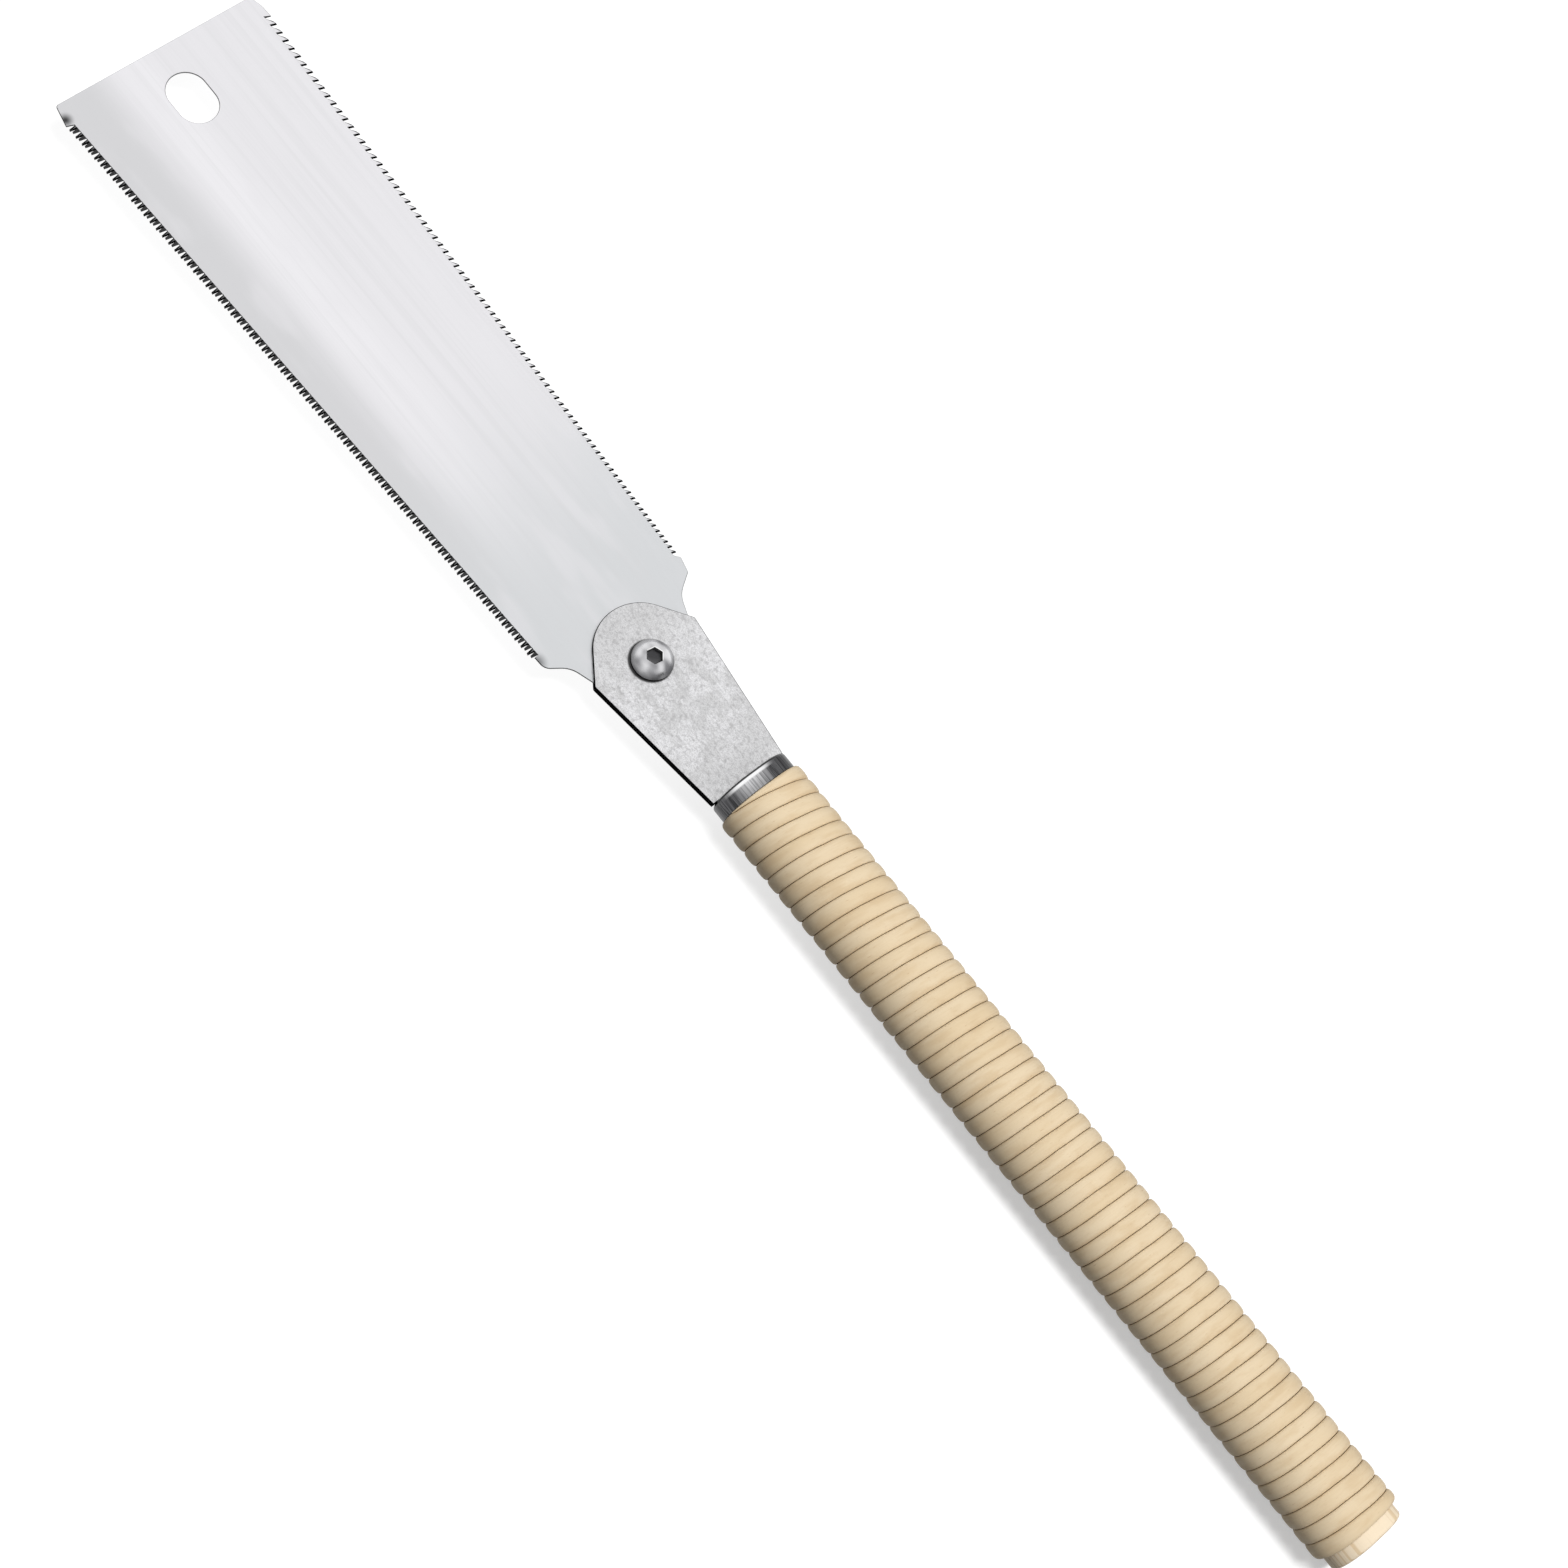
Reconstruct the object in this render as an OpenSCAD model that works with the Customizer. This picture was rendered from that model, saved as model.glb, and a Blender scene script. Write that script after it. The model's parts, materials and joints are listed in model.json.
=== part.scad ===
// Double-edged pull saw: a thin blade with crosscut teeth on one edge and rip teeth on the other,
// clamped by a button-head screw between two sheet-steel leaves on a rattan-wrapped wooden handle.
// The saw lies flat. X runs from the blade's tip to the butt of the handle, Y towards the rip edge,
// and Z up through the blade. Distances along the saw are measured from the clamp screw.

/* [Blade] */
// Length from the tip edge to the ears at the heel
blade_l = 240; // [180:1:300]
// Distance from the ears back to the clamp screw
ear_to_screw = 17.7; // [16:0.1:22]
// Width over the tooth points at the tip edge
blade_tip_w = 81; // [70:0.5:95]
// Width over the tooth points at the ears
blade_heel_w = 61.4; // [56:0.2:68]
// Thickness of the sheet
blade_t = 0.6; // [0.4:0.05:1]
// Radius of the two tip corners
tip_corner_r = 1.2; // [0.5:0.1:2]
// How far the tip corners lie inside the line of tooth points
tip_relief = 2; // [1:0.1:3]
// Width of the neck where the blade enters the clamp
neck_w = 38.4; // [34:0.2:40]
// How much wider than its mouth the neck is at the hollow
neck_flare = 6.8; // [4:0.2:8]
// How far the blade's tang reaches behind the screw
tang_l = 26; // [18:0.5:28]
// Width of the tang at its rear end
tang_end_w = 31; // [24:0.5:33]
// Length of the hanging slot
hang_slot_l = 19.4; // [16:0.2:26]
// Width of the hanging slot
hang_slot_w = 14; // [8:0.2:15]
// Distance from the tip edge to the middle of the hanging slot
hang_slot_inset = 20.4; // [16:0.2:40]

/* [Crosscut teeth] */
// Spacing of the crosscut teeth
cross_pitch = 1.53; // [1.2:0.01:2.5]
// Depth of the crosscut teeth
cross_depth = 2; // [1:0.05:2.4]
// How far the points lean towards the handle
cross_lean = 0.32; // [0:0.02:0.5]
// Length of the slanting facet that tops each tooth
cross_facet = 0.3; // [0.1:0.02:0.5]
// Plain edge between the tip corner and the first crosscut tooth
cross_tip_land = 7.9; // [6:0.1:15]

/* [Rip teeth] */
// Spacing of the coarse rip teeth at the tip
rip_pitch_tip = 3.5; // [2.5:0.1:5]
// Spacing of the fine rip teeth at the heel
rip_pitch_heel = 2.1; // [1.5:0.1:3]
// Depth of the rip teeth at the tip
rip_depth_tip = 2.35; // [1.5:0.05:3]
// Depth of the rip teeth at the heel
rip_depth_heel = 1.75; // [1:0.05:2]
// Rake of the cutting faces towards the handle, in degrees
rip_rake = 16; // [0:1:25]
// How far each gullet runs level before its back rises, as a share of the tooth spacing
rip_floor_share = 0.58; // [0.3:0.02:0.7]
// How far each back lies straight before its point, as a share of the tooth spacing
rip_brow_share = 0.65; // [0.3:0.05:0.8]
// Slope of the backs at the points of the teeth at the tip, in degrees
rip_slope_tip = 14; // [8:1:40]
// Slope of the backs at the points of the teeth at the heel, in degrees
rip_slope_heel = 45; // [20:1:50]
// Plain edge between the tip corner and the first rip tooth
rip_tip_land = 9.4; // [6:0.1:15]
// Bow of that plain edge, from 0 for a straight one to 1 for a sharply bent one
rip_land_bow = 0.6; // [0:0.1:0.8]
// Radius of the corner between the last gullet and the plain edge behind it
rip_land_r = 0.9; // [0.3:0.1:1.2]

/* [Heel] */
// Plain edge between the last crosscut tooth and the ear
heel_land = 4.6; // [3:0.1:10]
// How far back the ear on the rip edge lies behind the other
rip_ear_set = 0.8; // [0:0.1:1.5]
// How far the ears lie inside the line of tooth points
heel_relief = 1.1; // [0.5:0.1:2]
// Radius of the round ear on the crosscut edge
cross_ear_r = 4; // [1:0.1:4.5]
// Radius of the ear's corner on the rip edge
rip_ear_r = 1.2; // [0.6:0.1:3]
// Radius of the hollow between ear and neck
shoulder_r = 9; // [4:0.5:10]
// How far behind the ears the hollow lies
shoulder_l = 4.6; // [4:0.1:6]

/* [Clamp] */
// Thickness of each leaf
leaf_t = 1.2; // [0.8:0.1:2]
// Width across the corners of the leaves
leaf_corner_w = 41.6; // [40:0.2:46]
// How far ahead of the screw the corners lie
leaf_corner_x = 3.5; // [0:0.1:6]
// Radius of the round nose
nose_r = 16.7; // [14:0.1:19]
// How far the nose reaches ahead of the screw
nose_reach = 20.4; // [18:0.1:24]
// Width of the leaves where they meet the ferrule
leaf_foot_w = 29.2; // [24:0.2:32]
// Distance from the screw to the face of the ferrule
screw_to_ferrule = 48.2; // [44:0.2:60]
// Width of the tail that goes into the handle
tail_w = 15; // [10:0.5:18]
// Length of the tail inside the handle
tail_l = 70; // [40:1:110]
// How far the packing strip stays inside the edges of the leaves
packing_inset = 1.4; // [0.5:0.1:3]
// Free space on each side of the blade between the leaves
blade_clearance = 0.05; // [0.03:0.01:0.2]
// Space between the end of the blade's tang and the packing strip
tang_clearance = 2; // [1:0.1:4]

/* [Screw and nut] */
// Thread diameter
screw_d = 8; // [6:0.5:8]
// Length of the screw under its head
screw_l = 12; // [11.5:0.5:13]
// Diameter of the button head
head_d = 14; // [12:0.2:16]
// Height of the button head
head_h = 4.4; // [3.8:0.1:5]
// Height of the upright rim under the dome of the head
head_rim_h = 0.7; // [0.2:0.1:1]
// Diameter of the flat on top of the head
head_flat_d = 7; // [6.2:0.1:8]
// Width across the flats of the hexagon socket
socket_af = 5; // [4:0.5:5]
// Depth of the hexagon socket
socket_depth = 2.6; // [2:0.1:3]
// Angle from the saw's length to the nearest corner of the socket, in degrees
socket_turn = 21; // [0:1:59]
// Width across the flats of the nut
nut_af = 13; // [12:0.5:15]
// Height of the nut
nut_h = 5; // [4:0.5:6.5]
// Free space round the screw in the leaves and in the blade's slot
screw_clearance = 0.2; // [0.1:0.05:0.4]
// Free space between the screw and the nut's thread
thread_clearance = 0.03; // [0.02:0.01:0.08]

/* [Handle] */
// Radius of the two round sides of the wooden core
core_r = 11.2; // [9:0.1:13]
// Width of the flat between the round sides, which makes the handle oval
oval_flat = 4.6; // [2:0.2:8]
// Length of bare wood behind the rattan
butt_l = 4.7; // [2:0.1:20]
// Radius of the rounded edge at the butt
butt_edge_r = 0.9; // [0.3:0.1:2]
// Diameter of the pin that holds the tail in the core
pin_d = 3; // [2:0.5:5]
// Distance from the pin to the end of the tail
pin_inset = 22; // [8:1:30]
// Free space round the tail and the pin inside the handle
tail_clearance = 0.1; // [0.05:0.05:0.3]
// Free space behind the end of the tail
tail_end_clearance = 1; // [0.2:0.1:3]

/* [Ferrule] */
// Length of the ferrule
ferrule_l = 6.1; // [5:0.1:20]
// Wall of the ferrule's barrel
ferrule_wall = 0.75; // [0.5:0.05:1.2]
// Thickness of the ferrule's closed face
ferrule_face_t = 1; // [0.6:0.1:2]
// Radius of the rounded shoulder of the face
ferrule_edge_r = 1.4; // [0.6:0.1:1.8]
// Fit between the ferrule and the wood
ferrule_fit = 0.05; // [0.02:0.01:0.1]

/* [Rattan wrap] */
// Advance of the strip in one turn
wrap_pitch = 5.62; // [4:0.02:8]
// Whole turns of the strip
wrap_turns = 51; // [20:1:60]
// Gap between neighbouring turns
strip_gap = 0.55; // [0.5:0.01:1]
// Thickness of the strip at its crown
strip_t = 1.8; // [1.2:0.1:2.5]
// Thickness of the strip at its two edges
strip_edge_t = 0.85; // [0.4:0.05:1]
// Share of the strip's width that the crown takes up
strip_crown_share = 0.5; // [0.3:0.05:0.7]
// How far the first turn slants along the handle at its two sides
wrap_lean = 1.8; // [0:0.1:2]
// Turns over which the slant fades out
lean_turns = 26; // [20:1:40]
// Width of the strip at its pointed start
strip_start_w = 0.4; // [0.3:0.1:1]
// Fit between the strip and what it lies on
wrap_fit = 0.05; // [0.02:0.01:0.2]
// Depth of the flat on which the handle lies
rest_flat = 0.5; // [0.5:0.1:0.6]

/* [Hidden] */
$fn = 96;

// How far cutting shapes run past the faces that they cut
overshoot = 1;
// Facets of a rounded corner in a profile
corner_steps = 6;
// Facets of the back of a rip tooth
back_steps = 6;
// Rings on each round side of one turn of the strip
side_rings = 7;
turn_rings = 2 * side_rings;
ring_angle = 180 / (side_rings - 1);

// Places along the saw
tip_x = -ear_to_screw - blade_l;
ferrule_x = screw_to_ferrule;
wrap_x = ferrule_x + ferrule_l + wrap_fit;
wrap_l = wrap_turns * wrap_pitch + wrap_lean + strip_start_w;
wrap_end_x = wrap_x + wrap_l;
butt_x = wrap_end_x + butt_l;
tail_end_x = ferrule_x + tail_l;
pin_x = tail_end_x - pin_inset;
packing_x = tang_l + tang_clearance;

// Heights above and below the middle of the blade
leaf_gap = blade_t + 2 * blade_clearance;
leaf_top = leaf_gap / 2 + leaf_t;

// Radii round the handle
wrap_in_r = (core_r + wrap_fit) / cos(ring_angle / 2);
wrap_out_r = wrap_in_r + strip_t;
ferrule_in_r = core_r + ferrule_fit;
ferrule_r = ferrule_in_r + ferrule_wall;
oval_side = oval_flat / 2;
wrap_half_w = oval_side + wrap_out_r;
strip_w = wrap_pitch - strip_gap;

// The saw stands with its lowest flat on Z = 0, and its middle over the origin
mid_x = (tip_x + butt_x) / 2;
axis_z = wrap_out_r - rest_flat;

module in_place() {
    translate([-mid_x, 0, axis_z]) children();
}

// Half the width over the tooth points at a place along the blade
function edge_y(x) = (blade_tip_w + (blade_heel_w - blade_tip_w) * (x - tip_x) / blade_l) / 2;

// A corner point with its two neighbours, replaced by an arc that touches both sides
function unit(v) = v / norm(v);
function fillet(before, corner, after, r) =
    let (
        a = unit(before - corner),
        b = unit(after - corner),
        half = acos(a * b) / 2,
        middle = corner + unit(a + b) * r / sin(half),
        from = corner + a * r / tan(half) - middle,
        to = corner + b * r / tan(half) - middle
    )
    [for (i = [0 : corner_steps])
        let (w = i / corner_steps)
        middle + r * unit(from * (1 - w) + to * w)];

// A place on the smooth curve from a to d that leaves towards b and arrives from c
function bend(a, b, c, d, w) =
    a * pow(1 - w, 3) + b * 3 * w * pow(1 - w, 2) + c * 3 * w * w * (1 - w) + d * pow(w, 3);

// Crosscut teeth: gullet, leaning point and slanting top facet, from the heel to the tip
cross_from = tip_x + cross_tip_land + cross_pitch / 2;
cross_to = -ear_to_screw - heel_land;
cross_n = round((cross_to - cross_from) / cross_pitch);
cross_step = (cross_to - cross_from) / cross_n;
function cross_gullet(x) = [x, -edge_y(x) + cross_depth];
function cross_tooth(x) = [
    cross_gullet(x),
    [x - cross_step / 2 + cross_lean, -edge_y(x)],
    [x - cross_step / 2 + cross_lean - cross_facet, -edge_y(x) + cross_facet]
];
cross_teeth = concat(
    [for (i = [cross_n : -1 : 1], p = cross_tooth(cross_from + i * cross_step)) p],
    [cross_gullet(cross_from)]
);

// Rip teeth: spacing shrinks evenly from the tip to the heel
rip_from = tip_x + rip_tip_land;
rip_to = cross_to;
rip_n = round(2 * (rip_to - rip_from) / (rip_pitch_tip + rip_pitch_heel));
rip_fit = 2 * (rip_to - rip_from) / (rip_n * (rip_pitch_tip + rip_pitch_heel));
function rip_x(i) =
    rip_from + rip_fit * (rip_pitch_tip * i + (rip_pitch_heel - rip_pitch_tip) * i * i / (2 * rip_n));
function rip_blend(i, at_tip, at_heel) = at_tip + (at_heel - at_tip) * i / rip_n;
function rip_point(i) = [rip_x(i), edge_y(rip_x(i))];
function rip_gullet(i) = rip_point(i) - rip_blend(i, rip_depth_tip, rip_depth_heel) * [tan(rip_rake), 1];
function rip_floor(i) = rip_gullet(i) + [rip_floor_share * (rip_x(i + 1) - rip_x(i)), 0];
// One tooth: the level floor of its gullet, the rising back, and the point over the next gullet's raked face
function rip_tooth(i) =
    let (
        slope = rip_blend(i, rip_slope_tip, rip_slope_heel),
        brow = rip_point(i + 1) - rip_brow_share * (rip_x(i + 1) - rip_x(i)) * [cos(slope), sin(slope)]
    )
    [for (step = [0 : back_steps])
        bend(rip_gullet(i), rip_floor(i), brow, rip_point(i + 1), step / back_steps)];
rip_teeth = [for (i = [0 : rip_n - 2], p = rip_tooth(i)) p];
// The last gullet, whose back turns over a round corner into the plain edge
rip_last = [for (step = [0 : back_steps - 2]) rip_tooth(rip_n - 1)[step]];

// The plain edges behind the last teeth, which start on the line of rip points and inside the other line
rip_land = rip_point(rip_n);
cross_land = [cross_to, heel_relief - edge_y(cross_to)];
rip_ear = [rip_ear_set - ear_to_screw, edge_y(rip_ear_set - ear_to_screw) - heel_relief];
cross_ear = [-ear_to_screw, heel_relief - edge_y(-ear_to_screw)];
// One side of the heel from its plain edge to the tang: ear, hollow and neck, on the side given by its sign
function heel_side(side, land, ear, ear_r) =
    let (
        neck = [ear[0] + shoulder_l, side * (neck_w + neck_flare) / 2],
        mouth = [-leaf_corner_x, side * neck_w / 2],
        tang = [tang_l, side * tang_end_w / 2]
    )
    concat(
        fillet(land, ear, neck, ear_r),
        fillet(ear, neck, mouth, shoulder_r),
        [mouth, tang]
    );

// One tip corner: its plain land rises from the corner to the line of tooth points, straight or with a bow
function tip_corner(side, land, bow) =
    let (
        middle_x = tip_x + land / 2,
        corner = [tip_x, side * (edge_y(tip_x) - tip_relief)],
        middle = [middle_x, side * (edge_y(middle_x) - tip_relief * (1 - bow) / 2)],
        along = [tip_x + land, side * edge_y(tip_x + land)]
    )
    concat(
        fillet([tip_x, 0], corner, middle, tip_corner_r),
        bow > 0 ? fillet(corner, middle, along, land) : [],
        [along]
    );

function reversed(list) = [for (i = [len(list) - 1 : -1 : 0]) list[i]];

module blade_outline() {
    polygon(concat(
        tip_corner(1, rip_tip_land, rip_land_bow),
        rip_teeth,
        rip_last,
        fillet(rip_last[back_steps - 2], rip_land, rip_ear, rip_land_r),
        heel_side(1, rip_land, rip_ear, rip_ear_r),
        reversed(heel_side(-1, cross_land, cross_ear, cross_ear_r)),
        [cross_land],
        cross_teeth,
        reversed(tip_corner(-1, cross_tip_land, 0))
    ));
}

// Oblong hole with round ends, lying along X
module slot_outline(length, width) {
    straight = length - width;
    for (end = [-1, 1]) translate([end * straight / 2, 0]) circle(d = width);
    square([straight, width], center = true);
}

// Spring-steel blade with its hanging slot, and a slot in the tang that is open behind the screw
module blade() {
    slot_r = screw_d / 2 + screw_clearance;
    color("gainsboro") in_place()
    translate([0, 0, -blade_t / 2])
    linear_extrude(blade_t)
    difference() {
        blade_outline();
        translate([tip_x + hang_slot_inset, 0]) slot_outline(hang_slot_l, hang_slot_w);
        circle(r = slot_r);
        translate([0, -slot_r]) square([tang_l + overshoot, 2 * slot_r]);
    }
}

// An outline that is alike on both sides of the X axis, from the points of one side
function both_sides(side) = concat(side, [for (p = reversed(side)) [p.x, -p.y]]);
// The tail's side, from the foot of the leaves to its end
tail_side = [[ferrule_x, tail_w / 2], [tail_end_x, tail_w / 2]];

// Half the width of a leaf between its corners and its foot
function leaf_half_w(x) =
    (leaf_corner_w + (leaf_foot_w - leaf_corner_w) * (x + leaf_corner_x) / (ferrule_x + leaf_corner_x)) / 2;

// Leaf: a round nose, flanks that touch it, tapering sides, and the tail behind its square foot
module leaf() {
    nose_x = nose_r - nose_reach;
    corner = [-leaf_corner_x, leaf_corner_w / 2];
    touch = atan2(corner.y, corner.x - nose_x) + acos(nose_r / norm(corner - [nose_x, 0]));
    flank = [nose_x + nose_r * cos(touch), nose_r * sin(touch)];
    side = concat([flank, corner, [ferrule_x, leaf_foot_w / 2]], tail_side);
    difference() {
        union() {
            translate([nose_x, 0]) cylinder(r = nose_r, h = leaf_t);
            linear_extrude(leaf_t) polygon(both_sides(side));
        }
        translate([0, 0, -overshoot])
            cylinder(r = screw_d / 2 + screw_clearance, h = leaf_t + 2 * overshoot);
        translate([pin_x, 0, -overshoot])
            cylinder(r = pin_d / 2 + tail_clearance, h = leaf_t + 2 * overshoot);
    }
}

// Upper sheet of the clamp, under the screw's head
module front_leaf() {
    color("silver") in_place() translate([0, 0, leaf_gap / 2]) leaf();
}

// Lower sheet of the clamp, over the nut
module back_leaf() {
    color("silver") in_place() translate([0, 0, -leaf_top]) leaf();
}

// Strip between the leaves that keeps room for the blade and runs down the tail
module packing_strip() {
    side = concat([for (x = [packing_x, ferrule_x]) [x, leaf_half_w(x) - packing_inset]], tail_side);
    color("dimgray") in_place()
    translate([0, 0, -leaf_gap / 2])
    linear_extrude(leaf_gap)
    difference() {
        polygon(both_sides(side));
        translate([pin_x, 0]) circle(r = pin_d / 2 + tail_clearance);
    }
}

// Button-head screw with a hexagon socket, head up
module clamp_screw() {
    head_r = head_d / 2;
    flat_r = head_flat_d / 2;
    // Centre of the sphere through the top of the upright rim and the rim of the flat
    dome_z = (head_h * head_h + flat_r * flat_r - head_r * head_r - head_rim_h * head_rim_h)
        / (2 * (head_h - head_rim_h));
    dome_r = norm([head_r, head_rim_h - dome_z]);
    color("lightgray") in_place()
    translate([0, 0, leaf_top])
    difference() {
        union() {
            intersection() {
                translate([0, 0, dome_z]) sphere(r = dome_r);
                cylinder(r = head_r, h = head_h);
            }
            translate([0, 0, -screw_l]) cylinder(d = screw_d, h = screw_l + overshoot);
        }
        translate([0, 0, head_h - socket_depth])
            rotate(socket_turn) cylinder(d = socket_af / cos(30), h = socket_depth + overshoot, $fn = 6);
    }
}

// Hexagon nut under the back leaf, with its corners turned off at both ends
module clamp_nut() {
    bore_r = screw_d / 2 + thread_clearance;
    corner_d = nut_af / cos(30);
    chamfer = (corner_d - nut_af) / 2;
    color("lightgray") in_place()
    translate([0, 0, -leaf_top - nut_h])
    difference() {
        intersection() {
            cylinder(d = corner_d, h = nut_h, $fn = 6);
            rotate_extrude() polygon([
                [0, 0], [nut_af / 2, 0], [nut_af / 2 + chamfer, chamfer / 2],
                [nut_af / 2 + chamfer, nut_h - chamfer / 2], [nut_af / 2, nut_h], [0, nut_h]
            ]);
        }
        translate([0, 0, -overshoot]) cylinder(r = bore_r, h = nut_h + 2 * overshoot);
    }
}

// Oval bar along X: a profile of [radius, place] points turned round both side axes and drawn between them
module oval_bar(profile) {
    for (side = [-1, 1]) translate([0, side * oval_side, 0])
        rotate([0, 90, 0]) rotate_extrude() polygon(profile);
    rotate([-90, -90, 0]) linear_extrude(oval_flat, center = true)
        polygon(concat(profile, [for (p = reversed(profile)) [-p.x, p.y]]));
}

// Quarter-round edge of an oval bar, from its end face to its side
function round_edge(r, x, edge_r, toward) =
    [for (i = [0 : corner_steps])
        let (a = 90 * i / corner_steps)
        [r - edge_r * (1 - sin(a)), x + toward * edge_r * (1 - cos(a))]];

// Slot of the tail, cut from a place along the saw
module tail_slot(from_x, length) {
    translate([from_x, -tail_w / 2 - tail_clearance, -leaf_top - tail_clearance])
        cube([length, tail_w + 2 * tail_clearance, 2 * (leaf_top + tail_clearance)]);
}

// Pressed steel cap over the end of the wood, with a slot for the tail
module ferrule() {
    rear_x = ferrule_x + ferrule_l;
    color("dimgray") in_place()
    difference() {
        oval_bar(concat(
            [[0, ferrule_x]],
            round_edge(ferrule_r, ferrule_x, ferrule_edge_r, 1),
            [[ferrule_r, rear_x], [0, rear_x]]
        ));
        oval_bar([
            [0, ferrule_x + ferrule_face_t], [ferrule_in_r, ferrule_x + ferrule_face_t],
            [ferrule_in_r, rear_x + overshoot], [0, rear_x + overshoot]
        ]);
        tail_slot(ferrule_x - overshoot, ferrule_face_t + 2 * overshoot);
    }
}

// Wooden core of the handle, slotted for the tail and drilled for its pin
module handle_core() {
    front_x = ferrule_x + ferrule_face_t + ferrule_fit;
    slot_l = tail_end_x + tail_end_clearance - front_x;
    color("bisque") in_place()
    difference() {
        oval_bar(concat(
            [[0, front_x], [core_r, front_x]],
            reversed(round_edge(core_r, butt_x, butt_edge_r, -1)),
            [[0, butt_x]]
        ));
        tail_slot(front_x - overshoot, slot_l + overshoot);
        translate([pin_x, 0, -core_r - overshoot]) cylinder(d = pin_d, h = 2 * (core_r + overshoot));
    }
}

// Steel pin across the core and the tail, flush with the wood under the rattan
module tang_pin() {
    color("gray") in_place()
    translate([pin_x, 0, -core_r]) cylinder(d = pin_d, h = 2 * core_r);
}

// The strip winds to the left: over the top it runs from the crosscut side to the rip side
start_ring = turn_rings - 3;
// Rings that carry the strip on to the underside after its last whole turn
closing_rings = 8;
wrap_rings = wrap_turns * turn_rings + closing_rings;

// Places of one ring: its angle from the top, and the axis of the round side that it lies on
function ring_index(k) = (k + start_ring) % turn_rings;
function ring_turn(k) = ring_index(k) < side_rings
    ? ring_index(k) * ring_angle
    : 180 + (ring_index(k) - side_rings) * ring_angle;
function ring_axis(k) = ring_index(k) < side_rings ? oval_side : -oval_side;
function ring_y(k, r) = ring_axis(k) + r * sin(ring_turn(k));
function lean(k) = wrap_lean * max(0, 1 - k / turn_rings / lean_turns) * ring_y(k, wrap_out_r) / wrap_half_w;

// Rear and front edges of the strip, trimmed square to the handle at both ends of the wrap
wrap_start = wrap_x + strip_start_w - lean(0);
function run_x(k) = wrap_start + wrap_pitch * k / turn_rings + lean(k);
function rear_x(k) = min(run_x(k), wrap_end_x);
function front_x(k) = max(run_x(k) - strip_w, wrap_x);

// Section of the strip as [share of its width, height]: flat underneath and crowned on top
strip_section = [
    [0, 0], [1, 0], [1, strip_edge_t], [0.5 + strip_crown_share / 2, strip_t],
    [0.5 - strip_crown_share / 2, strip_t], [0, strip_edge_t]
];
section_n = len(strip_section);
function strip_point(k, s) =
    let (r = wrap_in_r + s[1])
    [front_x(k) + s[0] * (rear_x(k) - front_x(k)), ring_y(k, r), max(r * cos(ring_turn(k)), -axis_z)];

// Least distance between one turn's rear edge and the front edge of the next, on points along both
function along(k, w, s) = strip_point(k, s) * (1 - w) + strip_point(k + 1, s) * w;
gap_steps = 4;
wrap_gap = min([
    for (k = [0 : wrap_rings - turn_rings - 3], e = [[[1, 0], [0, 0]], [[1, strip_edge_t], [0, strip_edge_t]]])
        let (rear = strip_point(k + 1, e[0]))
        for (near = [0, 1], step = [0 : gap_steps])
            norm(rear - along(k + turn_rings + near, step / gap_steps, e[1]))
]);
echo(rattan_wrap_turns = (wrap_rings - 1) / turn_rings, least_gap_to_itself_mm = wrap_gap);

// Split rattan, wound as one unbroken strip from the ferrule to the butt
module rattan_wrap() {
    points = [for (k = [0 : wrap_rings - 1], s = strip_section) strip_point(k, s)];
    last = (wrap_rings - 1) * section_n;
    sides = [
        for (k = [0 : wrap_rings - 2], j = [0 : section_n - 1])
            let (
                a = k * section_n + j,
                b = k * section_n + (j + 1) % section_n
            )
            for (face = [[a, b, a + section_n], [b, b + section_n, a + section_n]]) face
    ];
    start = [for (j = [1 : section_n - 2]) [0, j + 1, j]];
    finish = [for (j = [1 : section_n - 2]) [last, last + j, last + j + 1]];
    color("burlywood") in_place() polyhedron(points, concat(sides, start, finish), convexity = 10);
}

blade();
front_leaf();
back_leaf();
packing_strip();
clamp_screw();
clamp_nut();
ferrule();
handle_core();
tang_pin();
rattan_wrap();
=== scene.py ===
# Double-edged pull saw: a thin toothed blade, clamped by one screw to a handle wound with split rattan.
# The sections follow the order in which the saw is put together, from the wood to the blade and its screw.
# Sizes are millimetres, measured from the clamp screw in the middle of the blade's thickness.
import json
from math import cos, pi, radians, sin, tan

import bmesh
import bpy
import numpy as np
from mathutils import Matrix, Vector
from mathutils.geometry import tessellate_polygon


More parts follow.
